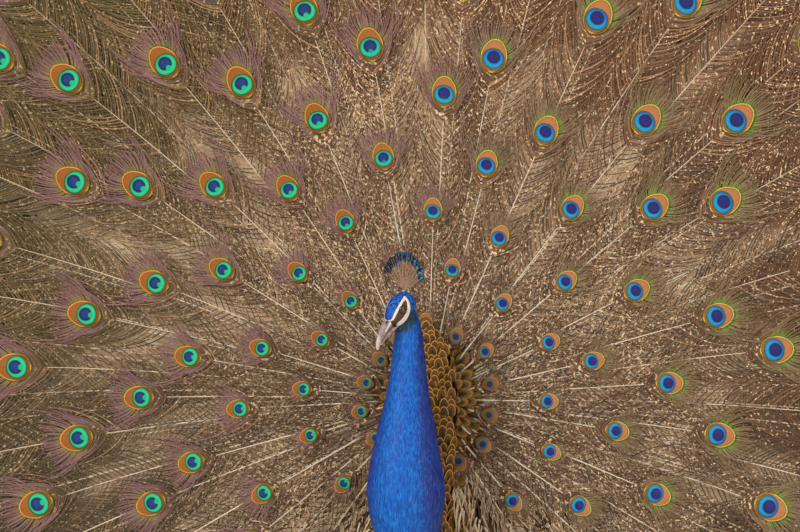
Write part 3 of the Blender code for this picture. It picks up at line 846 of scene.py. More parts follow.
    def backing_points(self) -> tuple[Array, Array, Array]:
        """A thin lens under an eye: its flat points, their rise and its quads."""
        sides = 24
        turn = np.linspace(0.0, 2 * math.pi, sides, endpoint=False)
        edge = self.outline(turn)
        local = np.concatenate([edge * 0.10, edge * 0.55, edge, edge * 0.55, edge * 0.10])
        rise = np.repeat([0.030, 0.020, 0.0, -0.020, -0.030], sides)
        side = np.arange(sides)
        quads = []
        for low in range(0, 4 * sides, sides):
            ring = [low + side, low + (side + 1) % sides]
            quads.append(np.stack([ring[0], ring[1], ring[1] + sides, ring[0] + sides], axis=-1))
        for ring, step in ((0, -1), (4, 1)):
            cap = ring * sides + side[::step]
            for start in range(1, sides - 1, 2):
                quads.append(cap[[0, start, start + 1, start + 2]][None])
        return local, rise, np.concatenate(quads)

    def barb_points(self, pairs: int = 17, sections: int = 6) -> tuple[Array, Array, Array]:
        """Chevrons of overlapping barbs that cover an eye."""
        local, rise = [], []
        share = np.linspace(0.0, 1.0, sections)
        half = 0.088 * (1.0 - 0.55 * share)
        top = 0.036 + 0.012 * (1.0 - share)
        for foot in np.linspace(-1.18, 1.12, pairs):
            place, heading = np.array([0.0, foot]), math.radians(66.0)
            walk = []
            while math.hypot(place[0] / (1.0 - 0.08 * place[1]), place[1] / EGG_HEIGHT) <= 1.0:
                walk.append(place)
                place = place + np.array([math.sin(heading), math.cos(heading)]) * 0.03
                heading = max(heading - math.radians(1.1), math.radians(18.0))
            steps = np.arange(len(walk))
            where = share * steps[-1]
            path = np.stack([np.interp(where, steps, axis) for axis in np.array(walk).T], axis=-1)
            for side in (-1.0, 1.0):
                across = np.array([-0.60 * side, 0.80]) * half[:, None]
                line = path * np.array([side, 1.0])
                local.append(np.stack([line - across, line + across], axis=1).reshape(-1, 2))
                rise.append(np.stack([top - 0.012, top + 0.012], axis=1).reshape(-1))
        return np.concatenate(local), np.concatenate(rise), strip_faces(2 * pairs, sections)

    @staticmethod
    def nodes() -> list[str]:
        """The sectors that the train stands for."""
        return [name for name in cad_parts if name.startswith("train_") and name != "train_root"]

    def piece(self, mesh: Mesh, finish: Material) -> None:
        """Settles one piece of the train."""
        settle_in(new_piece(mesh, finish), "bronze_plumage", *self.nodes())

    def barb_piece(
        self, name: str, barbs: Barbs, finish: Material, chosen: Array | slice = slice(None)
    ) -> None:
        """One piece of the chosen barbs, mapped on the dish's unwrap."""
        root = barbs.root[chosen]
        reach = np.linalg.norm(root, axis=-1)
        strands = Strands()
        marks = {key: value[chosen] for key, value in barbs.marks.items()}
        patch = self.dish.unroll(root, reach.min(), reach.max())
        strands.add(barbs.path[chosen], barbs.spread[chosen], patch, **marks)
        self.piece(strands.mesh(name), finish)

    def barb_pieces(self, name: str, barbs: Barbs, finish: Material, groups: int) -> None:
        """Pieces of like numbers of barbs, by rows of feathers from the shortest out."""
        shorter = np.searchsorted(np.sort(barbs.tip), barbs.tip)
        group = (shorter * groups / len(shorter)).astype(int)
        for number in range(groups):
            self.barb_piece(f"{name}_{number + 1}", barbs, finish, group == number)

    def build(self) -> None:
        """Makes barbs, fringes, down, quills and eyes."""
        barb_finish = BarbFinish().make()
        vanes = self.vane_barbs()
        groups = math.ceil(len(vanes.tip) * 2 * (self.barb_sections - 1) / PIECE_ROOM)
        self.barb_pieces("train_barbs", vanes, barb_finish, groups)
        self.barb_pieces("train_fringes", self.halo_barbs(), barb_finish, 2)
        under = self.under_barbs(self.under_step, self.under_behind)
        self.barb_piece("train_under", under, UnderFinish().make())
        backs = self.under_barbs(self.back_step, self.back_behind)
        self.barb_piece("train_backs", backs, BackFinish().make())
        self.barb_piece("train_down", self.down_strands(), DownFinish().make())
        self.piece(self.quills(), QuillFinish().make())
        eye_finish = OcellusFinish().make()
        eyed = np.flatnonzero(self.feathers.eyed)
        eyed = eyed[np.argsort(self.feathers.reach[eyed])]
        for number, chosen in enumerate(np.array_split(eyed, 3)):
            self.piece(self.eye_discs(chosen, f"train_eyes_{number + 1}"), eye_finish)
        log.info("train: %d eyed feathers, %d in all", len(eyed), len(self.feathers))


# Finishes of the train


def train_reach(x: Wire, z: Wire) -> Wire:
    """Distance from the middle of the dish, seen from the front."""
    up = z - Dish.centre[2]
    return (x * x + up * up) ** 0.5


@dataclass(frozen=True)
class BarbFinish:
    """Bronze barbs, mauve and green near an eye, more olive on the bird's right and browner on its left, with
    painted shade low and at the sides and painted highlights near the middle.
    """

    olive: Colour = srgb(110, 94, 52)
    brown: Colour = srgb(126, 84, 56)
    rose: Colour = srgb(194, 152, 116)
    cream: Colour = srgb(248, 222, 184)
    dark: Colour = srgb(44, 30, 20)
    inner: Colour = srgb(88, 58, 36)
    mauve: Colour = srgb(126, 90, 100)
    green: Colour = srgb(132, 132, 44)

    def make(self) -> Material:
        """The material."""
        graph = Graph("bronze_barbs")
        place = graph.place()
        x, _, z = graph.parts(place)
        reach = train_reach(x, z)
        tone, mauve = graph.read("tone"), graph.read("mauve")
        patches = graph.noise(place, 7.0, 1.0)
        lines = graph.noise(place, 900.0, 1.0)
        side = (x + (patches - 0.5) * 0.5).step(-0.50, 0.10)
        # Cream flecks: pale barbs, plus painted highlights added near the middle of the fan and above the
        # head.
        pale_fleck_and_highlight = graph.noise(place, 240.0, 1.0) + tone * 0.06 + (patches - 0.5) * 0.16
        pale_fleck_and_highlight = pale_fleck_and_highlight + reach.step(0.62, 0.12) * 0.028
        pale_fleck_and_highlight = pale_fleck_and_highlight + z.step(0.72, 0.95) * abs(x).step(0.34, 0.06) * 0.028
        left = x.step(0.25, -0.10)
        halo = graph.mix(left, srgb(114, 102, 56), self.mauve)
        tint = graph.paint(
            graph.mix(side, self.olive, self.brown),
            (reach.step(0.72, 0.30) * 0.75, self.inner),
            (tone.step(0.66, 1.0) * 0.55, self.rose),
            (tone.step(0.46, 0.05) * 0.72, self.dark),
            # Painted shade: darker towards the bottom and the sides of the fan.
            (abs(x).step(0.16, 0.60) * 0.30 + z.step(0.82, 0.50) * 0.28, srgb(52, 38, 22)),
            # Cream flecks, partly pale barbs and partly painted highlight.
            (pale_fleck_and_highlight.step(0.655, 0.70) * (0.38 + side * 0.42), self.cream),
            (mauve.step(0.1, 0.9) * 0.85, graph.mix(tone * 0.6, halo, srgb(160, 124, 112))),
            (mauve.step(1.25, 1.9) * 0.9, graph.mix(left, srgb(112, 150, 56), self.green)),
        )
        return graph.finish(tint, 0.42 + tone * 0.2, relief=lines, depth=0.0002, specular_ior_level=0.4)


@dataclass(frozen=True)
class UnderFinish:
    """The deeper layers: dark brown, greener on the bird's right, with cream down nearer the centre
    brightened there as a painted highlight, and painted shade low and at the sides.
    """

    olive: Colour = srgb(58, 52, 28)
    brown: Colour = srgb(68, 46, 30)
    cream: Colour = srgb(250, 224, 188)

    def make(self) -> Material:
        """The material."""
        graph = Graph("under_barbs")
        place = graph.place()
        x, _, z = graph.parts(place)
        tone = graph.read("tone")
        lines = graph.noise(place, 700.0, 1.0)
        # Cream mask: pale down nearer the centre, raised there as a painted highlight.
        light = train_reach(x, z).step(0.85, 0.35) * 0.66 + x.step(-0.5, 0.3) * 0.14
        light = light + graph.noise(place, 11.0, 2.0) * 0.50 + tone * 0.26
        tint = graph.paint(
            graph.mix(x.step(-0.45, 0.25), self.olive, self.brown),
            (tone.step(0.5, 1.0) * 0.40, srgb(124, 92, 62)),
            (light.step(0.62, 0.80) * 0.96, self.cream),
            # Painted shade: darker towards the bottom and the sides.
            (abs(x).step(0.16, 0.60) * 0.26 + z.step(0.82, 0.50) * 0.22, srgb(74, 56, 34)),
            (lines.step(0.45, 0.7) * 0.4, srgb(60, 42, 30)),
        )
        return graph.finish(tint, 0.6 + tone * 0.15, relief=lines, depth=0.0003)


@dataclass(frozen=True)
class BackFinish:
    """Dull grey-brown undersides of the feathers, as the fan shows them from behind."""

    def make(self) -> Material:
        """The material."""
        graph = Graph("feather_backs")
        place = graph.place()
        tone = graph.read("tone")
        lines = graph.noise(place, 700.0, 1.0)
        tint = graph.paint(
            graph.mix(tone, srgb(112, 96, 78), srgb(84, 70, 56)),
            (graph.noise(place, 9.0, 2.0).step(0.42, 0.64) * 0.5, srgb(132, 116, 96)),
            (lines.step(0.45, 0.7) * 0.5, srgb(54, 44, 36)),
        )
        return graph.finish(tint, 0.62 + tone * 0.15, relief=lines, depth=0.0003)


@dataclass(frozen=True)
class DownFinish:
    """Cream down with faint darker tips."""

    cream: Colour = srgb(250, 230, 200)
    shade: Colour = srgb(190, 156, 122)

    def make(self) -> Material:
        """The material."""
        graph = Graph("cream_down")
        tone, along = graph.read("tone"), graph.read("along")
        fluff = graph.noise(graph.place(), 420.0, 2.0)
        tint = graph.mix((tone * 0.6 + along * 0.4).step(0.3, 0.9), self.cream, self.shade)
        tint = graph.mix(fluff.step(0.45, 0.7) * 0.3, tint, srgb(150, 116, 88))
        return graph.finish(tint, 0.75, relief=fluff, depth=0.0003, sheen_weight=0.2)


@dataclass(frozen=True)
class QuillFinish:
    """Ivory quills, a little browner outward."""

    ivory: Colour = srgb(236, 224, 204)
    buff: Colour = srgb(186, 150, 112)

    def make(self) -> Material:
        """The material."""
        graph = Graph("ivory_quill")
        place = graph.place()
        x, _, z = graph.parts(place)
        grain = graph.noise(place, 240.0, 2.0)
        tint = graph.mix(train_reach(x, z).step(0.35, 1.0), self.ivory, self.buff)
        tint = graph.mix(grain.step(0.45, 0.75) * 0.35, tint, srgb(150, 120, 90))
        return graph.finish(tint, 0.35 + grain * 0.15, relief=grain, depth=0.0001)


def oval(across: Wire, up: Wire, half_width: object, half_height: float) -> Wire:
    """One on an oval's edge, less inside it and more outside."""
    wide, high = across / half_width, up / half_height
    return (wide * wide + high * high) ** 0.5


@dataclass(frozen=True)
class OcellusFinish:
    """The eye pattern, drawn in half widths across and along the feather."""

    def make(self) -> Material:
        """The material."""
        graph = Graph("ocellus")
        across, along, _ = graph.parts(graph.node("ShaderNodeUVMap", {"uv_map": "vane"}))
        x, _, z = graph.parts(graph.place())
        left = (x + 0.04).step(0.16, -0.12)
        low = along.step(0.15, -0.75)
        chevron = graph.join((abs(across) * 0.55 - along) * 26.0, abs(across) * 2.0, x * 20.0)
        fibre = graph.noise(chevron, 1.0, 2.0)
        wobble = (graph.noise(graph.join(across, along, x * 9.0), 1.6, 1.0) - 0.5) * 0.10
        egg = oval(across, along, 1.0 - along * 0.09, EGG_HEIGHT) + wobble * 0.3
        ring = oval(across, along + 0.20 + wobble, 0.77, 0.69)
        heart = oval(across, along + 0.10 + wobble, 0.46, 0.43)
        whole = 1.0 - oval(across, along + 0.56, 0.22, 0.26).step(1.08, 0.92) * left
        line = graph.mix(left, srgb(212, 194, 96), graph.mix(low, srgb(228, 156, 84), srgb(182, 170, 46)))
        left_copper = graph.mix(fibre, srgb(198, 134, 88), srgb(174, 112, 72))
        copper = graph.mix(left, left_copper, graph.mix(fibre, srgb(170, 106, 36), srgb(140, 86, 30)))
        brown = graph.mix(left, srgb(128, 96, 44), srgb(122, 72, 26))
        azure = graph.mix(low, srgb(14, 96, 204), srgb(16, 148, 206))
        turquoise = graph.paint(
            graph.mix(left, azure, srgb(28, 190, 134)),
            (fibre.step(0.3, 0.8) * 0.3, graph.mix(left, srgb(10, 104, 170), srgb(20, 170, 136))),
        )
        navy = graph.paint(
            graph.mix(left, srgb(40, 38, 130), srgb(22, 62, 142)),
            (heart.step(0.55, 0.95), graph.mix(left, srgb(34, 32, 92), srgb(10, 30, 84))),
            (fibre.step(0.4, 0.8) * 0.35, srgb(16, 24, 70)),
        )
        colour = graph.paint(
            graph.mix(egg.step(1.0, 0.975), graph.mix(fibre, srgb(122, 126, 48), srgb(92, 96, 40)), line),
            (egg.step(0.925, 0.895), srgb(150, 84, 34)),
            (egg.step(0.885, 0.84), graph.mix(low * 0.85, copper, brown)),
            (ring.step(1.16, 1.04), graph.mix(left, srgb(96, 78, 40), srgb(64, 76, 30))),
            (ring.step(1.045, 1.01), srgb(12, 104, 88)),
            (ring.step(0.99, 0.94), turquoise),
            (ring.within(0.66, 0.86, 0.07) * 0.6, graph.mix(left, srgb(30, 164, 232), srgb(52, 214, 158))),
            (heart.step(1.18, 1.06) * whole * 0.85, srgb(6, 54, 76)),
            (heart.step(1.03, 0.95) * whole, navy),
        )
        inner = graph.mix(fibre, srgb(134, 92, 50), srgb(98, 70, 40))
        inner = graph.mix(heart.step(1.05, 0.8), inner, srgb(20, 62, 66))
        outer = (train_reach(x, z) + left * 0.025).step(0.085, 0.13)
        tint = graph.mix(outer, inner, colour)
        return graph.finish(tint, 0.46 + fibre * 0.14, relief=fibre, depth=0.0002, specular_ior_level=0.3)


# Geometry Nodes and skins


class Growth(Graph):
    """A Geometry Nodes tree with named inputs, written with the same calls as a material."""

    def __init__(self, name: str) -> None:
        """Starts an empty tree with geometry in and out."""
        self.tree = bpy.data.node_groups.new(name, "GeometryNodeTree")
        self.tree.interface.new_socket("Geometry", in_out="INPUT", socket_type="NodeSocketGeometry")
        self.tree.interface.new_socket("Geometry", in_out="OUTPUT", socket_type="NodeSocketGeometry")
        self.entry = self.tree.nodes.new("NodeGroupInput")
        self.exit = self.tree.nodes.new("NodeGroupOutput")

    def ask(self, name: str, kind: str) -> Wire:
        """Adds a named input and returns its wire."""
        self.tree.interface.new_socket(name, in_out="INPUT", socket_type=f"NodeSocket{kind}")
        return Wire(self, self.entry.outputs[name])

    def mark(self, name: str, kind: str = "FLOAT") -> Wire:
        """A named attribute of the geometry."""
        return self.node("GeometryNodeInputNamedAttribute", {"data_type": kind}, {"Name": name})

    def chance(self, low: object, high: object, seed: Wire, salt: int) -> Wire:
        """A random number for each point."""
        values = {2: low, 3: high, "Seed": seed + salt}
        return self.node("FunctionNodeRandomValue", {"data_type": "FLOAT"}, values, out=1)

    def end(self, geometry: Wire, material: Wire) -> None:
        """Realizes the instances, sets the material and closes the tree."""
        real = self.node("GeometryNodeRealizeInstances", values={0: geometry})
        done = self.node("GeometryNodeSetMaterial", values={"Geometry": real, "Material": material})
        self.tree.links.new(done.socket, self.exit.inputs[0])

    def run(self, base: Object, **values: object) -> Mesh:
        """Grows the tree on an object and returns the plain mesh; _ in a name stands for a space."""
        modifier = base.modifiers.new(self.tree.name, "NODES")
        modifier.node_group = self.tree
        wanted = {name.replace("_", " "): value for name, value in values.items()}
        for item in self.tree.interface.items_tree:
            if item.item_type == "SOCKET" and item.in_out == "INPUT" and item.name in wanted:
                modifier[item.identifier] = wanted[item.name]
        base.update_tag()
        bpy.context.view_layer.update()
        ready = base.evaluated_get(bpy.context.evaluated_depsgraph_get())
        made = bpy.data.meshes.new_from_object(ready)
        base.modifiers.remove(modifier)
        return made


def merged(node: str, grow: float = 0.0) -> bmesh.types.BMesh:
    """A copy of a CAD node with its doubles merged, grown along its normals."""
    shape = bmesh.new()
    shape.from_mesh(bpy.data.objects[node].data)
    bmesh.ops.remove_doubles(shape, verts=shape.verts, dist=0.00005)
    bmesh.ops.recalc_face_normals(shape, faces=shape.faces)
    shape.normal_update()
    for vert in shape.verts:
        vert.co += vert.normal * grow
    return shape


def gathered(nodes: tuple[str, ...] | list[str], grow: float = 0.0) -> bmesh.types.BMesh:
    """Merged copies of CAD nodes in one form."""
    whole = bmesh.new()
    for node in nodes:
        shape = merged(node, grow)
        copy = bpy.data.meshes.new("part_form")
        shape.to_mesh(copy)
        whole.from_mesh(copy)
        shape.free()
        bpy.data.meshes.remove(copy)
    return whole


def worked(name: str, form: bmesh.types.BMesh, kind: str, **settings: object) -> Mesh:
    """A form after one modifier, as a plain mesh; the form is used up.

    Args:
        name: the mesh's name.
        form: the form.
        kind: the modifier's type.
        settings: the modifier's settings.

    Returns:
        The mesh.
    """
    mesh = bpy.data.meshes.new(f"{name}_form")
    form.to_mesh(mesh)
    form.free()
    holder = link(mesh.name, mesh)
    modifier = holder.modifiers.new("work", kind)
    for key, value in settings.items():
        setattr(modifier, key, value)
    made = bpy.data.meshes.new_from_object(holder.evaluated_get(bpy.context.evaluated_depsgraph_get()))
    bpy.data.objects.remove(holder)
    made.name = name
    return made


def rounded(name: str, levels: int, node: str) -> Mesh:
    """Smoothed copy of a CAD node that has a right but faceted shape."""
    form = gathered([node])
    bmesh.ops.join_triangles(
        form, faces=form.faces, angle_face_threshold=0.5, angle_shape_threshold=0.7, cmp_seam=False
    )
    return worked(name, form, "SUBSURF", levels=levels, render_levels=levels)


def taken(items: object, what: str, width: int = 1) -> Array:
    """One property of all a mesh's items, in rows of a width."""
    values = np.empty(len(items) * width, np.float32)
    items.foreach_get(what, values)
    return values.reshape(-1, width)


def points_of(mesh: Mesh) -> Array:
    """A mesh's vertex places."""
    return taken(mesh.vertices, "co", 3).astype(float)


def normals_of(mesh: Mesh) -> Array:
    """A mesh's vertex normals."""
    return taken(mesh.vertex_normals, "vector", 3).astype(float)


def put_points(mesh: Mesh, places: Array) -> None:
    """Sets a mesh's vertex places."""
    mesh.vertices.foreach_set("co", np.ascontiguousarray(places, np.float32).reshape(-1))
    mesh.update()


def put_mark(mesh: Mesh, name: str, values: Array) -> None:
    """Stores a number or a vector on each vertex."""
    vector = values.ndim == 2
    layer = mesh.attributes.new(name, "FLOAT_VECTOR" if vector else "FLOAT", "POINT")
    flat = np.ascontiguousarray(values, np.float32).reshape(-1)
    layer.data.foreach_set("vector" if vector else "value", flat)


def relax(mesh: Mesh, rounds: int, share: Array | float = 0.5) -> None:
    """Moves each vertex towards the middle of its neighbours, a number of times."""
    edges = np.empty(len(mesh.edges) * 2, np.int32)
    mesh.edges.foreach_get("vertices", edges)
    first, second = edges.reshape(-1, 2).T
    count = len(mesh.vertices)
    degree = np.bincount(first, minlength=count) + np.bincount(second, minlength=count)
    places = points_of(mesh)
    share = np.broadcast_to(np.asarray(share, float), (count,))[:, None]
    for _ in range(rounds):
        middle = np.empty_like(places)
        for axis in range(3):
            gained = np.bincount(first, places[second, axis], count)
            gained = gained + np.bincount(second, places[first, axis], count)
            middle[:, axis] = gained / np.maximum(degree, 1)
        places += (middle - places) * share
    put_points(mesh, places)


def unwrap(piece: Object, margin: float = 0.001) -> None:
    """Gives a piece an OFBake map by an unwrap of its own shape."""
    for layer in list(piece.data.uv_layers):
        piece.data.uv_layers.remove(layer)
    piece.data.uv_layers.new(name="OFBake")
    bpy.ops.object.select_all(action="DESELECT")
    piece.select_set(True)
    bpy.context.view_layer.objects.active = piece
    bpy.ops.object.mode_set(mode="EDIT")
    bpy.ops.mesh.select_all(action="SELECT")
    bpy.ops.uv.smart_project(angle_limit=math.radians(72.0), island_margin=margin)
    bpy.ops.object.mode_set(mode="OBJECT")
    piece.select_set(False)


def segment_distance(places: Array, line: Array) -> Array:
    """Distance of each place from a chain of straight lines."""
    nearest = np.full(len(places), 1e9)
    for start, stop in zip(line[:-1], line[1:]):
        step = stop - start
        share = np.clip(((places - start) @ step) / (step @ step), 0.0, 1.0)
        nearest = np.minimum(nearest, np.linalg.norm(places - start - share[:, None] * step, axis=1))
    return nearest


@dataclass(frozen=True)
class HeadFrame:
    """The head's own axes: +X to its left, -Y ahead, +Z up, from between and behind the eyes."""

    turn: float = -33.0
    nod: float = 32.0
    eye: Triple = (0.0125, -0.0070, 0.0030)
    eye_radius: float = 0.0062

    def axes(self) -> Array:
        """Rows are the head's axes in the frame."""
        turn, nod = math.radians(self.turn), math.radians(self.nod)
        ahead, side = math.cos(turn), math.sin(turn)
        spin = np.array([[ahead, -side, 0.0], [side, ahead, 0.0], [0.0, 0.0, 1.0]])
        level, dip = math.cos(nod), math.sin(nod)
        tip = np.array([[1.0, 0.0, 0.0], [0.0, level, -dip], [0.0, dip, level]])
        return (spin @ tip).T

    def eye_centre(self, side: float) -> Array:
        """Middle of the left (1) or right (-1) eye in the head frame."""
        return np.array([self.eye[0] * side, *self.eye[1:]])

    def origin(self) -> Array:
        """The head frame's origin, from the eyes' middle."""
        middles = [np.mean(np.array(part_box(f"eye_{side}")), axis=0) for side in ("left", "right")]
        return np.mean(middles, axis=0) - self.eye_centre(0.0) @ self.axes()

    def local(self, places: Array) -> Array:
        """Places in the head frame."""
        return (places - self.origin()) @ self.axes().T

    def world(self, places: Array) -> Array:
        """Places in the whole frame."""
        return places @ self.axes() + self.origin()


def bowed(start: Pair, stop: Pair, bow: float) -> Array:
    """A shallow arc on the head's side, as nine (ahead-behind, up) places."""
    share = np.linspace(0.0, 1.0, 9)[:, None]
    chord = np.array(stop) - np.array(start)
    normal = np.array([-chord[1], chord[0]]) / np.linalg.norm(chord)
    return np.array(start) + chord * share + normal * bow * 4.0 * share * (1.0 - share)


@dataclass(frozen=True)
class Face:
    """Where the bare skin and the dark patch lie on the head's side, set from the eye.

    Each place is how far behind and how far above the middle of the eye it is.
    """

    eye: Pair = HeadFrame.eye[1:]
    corner: Pair = (0.0145, 0.0105)
    bill_root: Pair = (-0.0175, -0.0042)
    bill_end: Pair = (-0.036, -0.0125)
    cheek_end: Pair = (-0.0105, -0.0160)
    patch_ends: tuple[Pair, Pair] = ((0.010, 0.003), (-0.016, -0.0085))
    chin_ends: tuple[Pair, Pair] = ((0.012, -0.017), (-0.014, -0.023))
    brow_bow: float = -0.0028
    cheek_bow: float = 0.0062
    brow_half: float = 0.0014
    cheek_half: float = 0.0036
    patch_half: float = 0.0072
    chin_half: float = 0.0070

    def away(self, local: Array, line: Array) -> Array:
        """Distance on the head's side from a line given from the eye."""
        return segment_distance(local[:, 1:] - np.array(self.eye), line)

    def bare(self, local: Array, margin: float = 0.0) -> Array:
        """One on the white skin, and on a margin round it if one is given."""
        brow_line = bowed(self.corner, self.bill_root, self.brow_bow)
        brow = self.away(local, np.vstack([brow_line, self.bill_end])) - self.brow_half - margin
        cheek_line = bowed(self.corner, self.cheek_end, self.cheek_bow)
        forward = np.clip((self.eye[0] + self.corner[0] - local[:, 1]) / 0.012, 0.0, 1.0)
        cheek = self.away(local, cheek_line) - self.cheek_half * (0.45 + 0.55 * forward) - margin
        return ease(0.0004, -0.0004, np.minimum(brow, cheek))

    def throat(self, local: Array) -> Array:
        """One on the dark feathers under the cheek and round the chin."""
        near = self.away(local, np.array(self.chin_ends))
        return ease(self.chin_half + 0.003, self.chin_half - 0.002, near)

    def dark(self, local: Array) -> Array:
        """One on the dark patch round the eye."""
        near = self.away(local, np.array(self.patch_ends))
        return ease(self.patch_half + 0.0007, self.patch_half - 0.0007, near) * (1.0 - self.bare(local))


@dataclass
class Skin:
    """One skin over the bird's flesh, which every coat grows from.

    It carries marks for the share of each kind of plumage and the lie of the coat.
    """

    flesh: tuple[str, ...] = (
        "trunk", "neck_lower", "neck_upper", "head", "mantle", "train_root", "undertail",
        "wing_left", "wing_right", "thigh_left", "thigh_right",
    )
    voxel: float = 0.0042
    grow: float = 0.0011
    blend: float = 0.006
    hair_margin: float = 0.0012
    head_reach: float = 0.034
    head: HeadFrame = field(default_factory=HeadFrame)
    face: Face = field(default_factory=Face)

    def form(self) -> Mesh:
        """The nodes of flesh as one voxel mesh, with a lump that fills the bill's root."""
        whole = gathered(self.flesh, self.grow)
        root = self.head.world(np.array([[0.0, -0.022, -0.008]]))[0]
        lump = bmesh.ops.create_icosphere(whole, subdivisions=3, radius=0.0088)
        for vert in lump["verts"]:
            vert.co += Vector(root)
        return worked("skin", whole, "REMESH", mode="VOXEL", voxel_size=self.voxel)

    def refine_head(self, mesh: Mesh) -> None:
        """Divides the faces of the head."""
        shape = bmesh.new()
        shape.from_mesh(mesh)
        origin = Vector(self.head.origin())
        edges = [
            edge for edge in shape.edges
            if all((vert.co - origin).length < self.head_reach for vert in edge.verts)
        ]
        bmesh.ops.subdivide_edges(shape, edges=edges, cuts=3, use_grid_fill=True)
        bmesh.ops.triangulate(shape, faces=[face for face in shape.faces if len(face.verts) > 4])
        shape.to_mesh(mesh)
        shape.free()

    def shares(self, places: Array) -> dict[str, Array]:
        """How much each node of flesh has of each vertex, from 0 to 1."""
        weights = {}
        for node in self.flesh:
            shape = merged(node)
            tree = BVHTree.FromBMesh(shape)
            low, high = (np.array(corner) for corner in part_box(node))
            near = np.all((places > low - 0.02) & (places < high + 0.02), axis=1)
            distance = np.full(len(places), 1.0)
            for index in np.flatnonzero(near):
                distance[index] = tree.find_nearest(Vector(places[index]))[3]
            weights[node] = np.exp(-(distance / self.blend) ** 2) + 1e-12
            shape.free()
        total = sum(weights.values())
        return {node: weight / total for node, weight in weights.items()}

    def lids(self, local: Array) -> Array:
        """Fits the skin round the eyeballs, open in an almond."""
        for side in (-1.0, 1.0):
            centre = self.head.eye_centre(side)
            arm = local - centre
            distance = np.linalg.norm(arm, axis=1)
            outward = arm[:, 0] * side
            near = (distance < 0.0125) & (outward > -0.001)
            almond = (arm[:, 1] / 0.0058) ** 2 + (arm[:, 2] / 0.0043) ** 2
            wanted = np.where(almond < 1.0, self.head.eye_radius - 0.0012, self.head.eye_radius + 0.0008)
            rim = np.exp(-((np.sqrt(almond) - 1.12) / 0.13) ** 2) * 0.0005
            share = ease(0.0120, 0.0072, distance) * near * ease(-0.001, 0.002, outward)
            share = np.where(almond < 1.0, near * 1.0, share)
            target = centre + arm / np.maximum(distance, 1e-6)[:, None] * (wanted + rim)[:, None]
            local = local + (target - local) * share[:, None]
        return local

    def build(self) -> Object:
        """Makes the skin with its marks and its map."""
        mesh = self.form()
        relax(mesh, 6)
        self.refine_head(mesh)
        places = points_of(mesh)
        shares = self.shares(places)
        head = shares["head"]
        relax(mesh, 3, 0.5)
        places, normals = points_of(mesh), normals_of(mesh)
        neck = shares["neck_upper"] + shares["neck_lower"]
        depth = 0.0012 + 0.0012 * head + 0.0024 * neck + 0.0042 * (1.0 - head - neck)
        places -= normals * depth[:, None]
        local = self.head.local(places)
        close = np.linalg.norm(local, axis=1) < 0.045
        local[close] = self.lids(local[close])
        places[close] = self.head.world(local[close])
        bare = np.where(close, self.face.bare(local), 0.0) * ease(0.3, 0.6, head + 0.4 * close)
        patch = np.where(close, self.face.dark(local), 0.0) * ease(0.3, 0.6, head + 0.4 * close)
        put_points(mesh, places)
        places += normals_of(mesh) * (0.0010 * bare)[:, None]
        put_points(mesh, places)
        self.write_marks(mesh, places, shares, bare, patch, local)
        made = new_piece(mesh, PlumageFinish("skin", False).make())
        unwrap(made)
        places = taken(mesh.uv_layers["OFBake"].data, "uv", 2)
        carried = np.pad(places, ((0, 0), (0, 1)))
        layer = mesh.attributes.new("root_place", "FLOAT_VECTOR", "CORNER")
        layer.data.foreach_set("vector", carried.reshape(-1))
        return settle_in(made, "cobalt_plumage", *self.flesh)

    def write_marks(
        self, mesh: Mesh, places: Array, shares: dict[str, Array], bare: Array,
        patch: Array, local: Array,
    ) -> None:
        """Stores where each kind of plumage grows, and its lie."""
        x, y, z = places.T
        head = shares["head"]
        neck = shares["neck_upper"] + shares["neck_lower"]
        wing = shares["wing_left"] + shares["wing_right"]
        thigh = shares["thigh_left"] + shares["thigh_right"]
        trunk = shares["trunk"]
        rump = np.maximum(ease(-0.105, -0.065, y) * ease(0.40, 0.44, z), ease(0.07, 0.11, y)) * trunk
        dusk = trunk * ease(-0.08, -0.01, y) * ease(0.37, 0.33, z)
        marks = {
            "gold": shares["mantle"], "wing": wing, "down": shares["undertail"], "thigh": thigh,
            "back": shares["train_root"] + rump, "dusk": dusk, "bare": bare, "patch": patch,
            "throat": self.face.throat(local) * ease(0.05, 0.04, np.linalg.norm(local, axis=1)),
        }
        wide = self.face.bare(local, self.hair_margin) * ease(0.045, 0.040, np.linalg.norm(local, axis=1))
        skin_free = (1.0 - ease(0.15, 0.5, wide)) * (1.0 - ease(0.15, 0.5, patch))
        blue = head + neck + np.maximum(trunk - rump - dusk, 0.0)
        covers = {
            "cover_head": ease(0.45, 0.55, head) * skin_free,
            "cover_blue": ease(0.35, 0.5, blue) * ease(0.6, 0.5, head) * skin_free,
            "cover_gold": ease(0.35, 0.5, marks["gold"]),
            "cover_wing": ease(0.4, 0.5, wing),
            "cover_down": ease(0.4, 0.5, marks["down"]),
            "cover_thigh": ease(0.4, 0.5, thigh + dusk),
            "cover_back": ease(0.35, 0.5, marks["back"]),
        }
        for name, values in {**marks, **covers}.items():
            put_mark(mesh, name, np.clip(values, 0.0, 1.0))
        ways = {
            "head": np.array([0.0, 1.0, -0.35]) @ self.head.axes(), "neck_upper": (0.0, -0.05, -1.0),
            "neck_lower": (0.0, 0.10, -1.0), "trunk": (0.0, 0.85, -0.55), "wing_left": (0.0, 1.0, -0.30),
            "wing_right": (0.0, 1.0, -0.30), "thigh_left": (0.0, 0.15, -1.0),
            "thigh_right": (0.0, 0.15, -1.0), "undertail": (0.0, 0.8, -0.6), "mantle": (0.0, 0.2, 1.0),
        }
        lie = sum(shares[node][:, None] * np.array(way)[None] for node, way in ways.items())
        outward = np.stack([x, np.zeros(len(x)), z - Dish().centre[2]], axis=1)
        outward /= np.maximum(np.linalg.norm(outward, axis=1, keepdims=True), 1e-6)
        lie += outward * shares["train_root"][:, None]
        put_mark(mesh, "lie", lie)


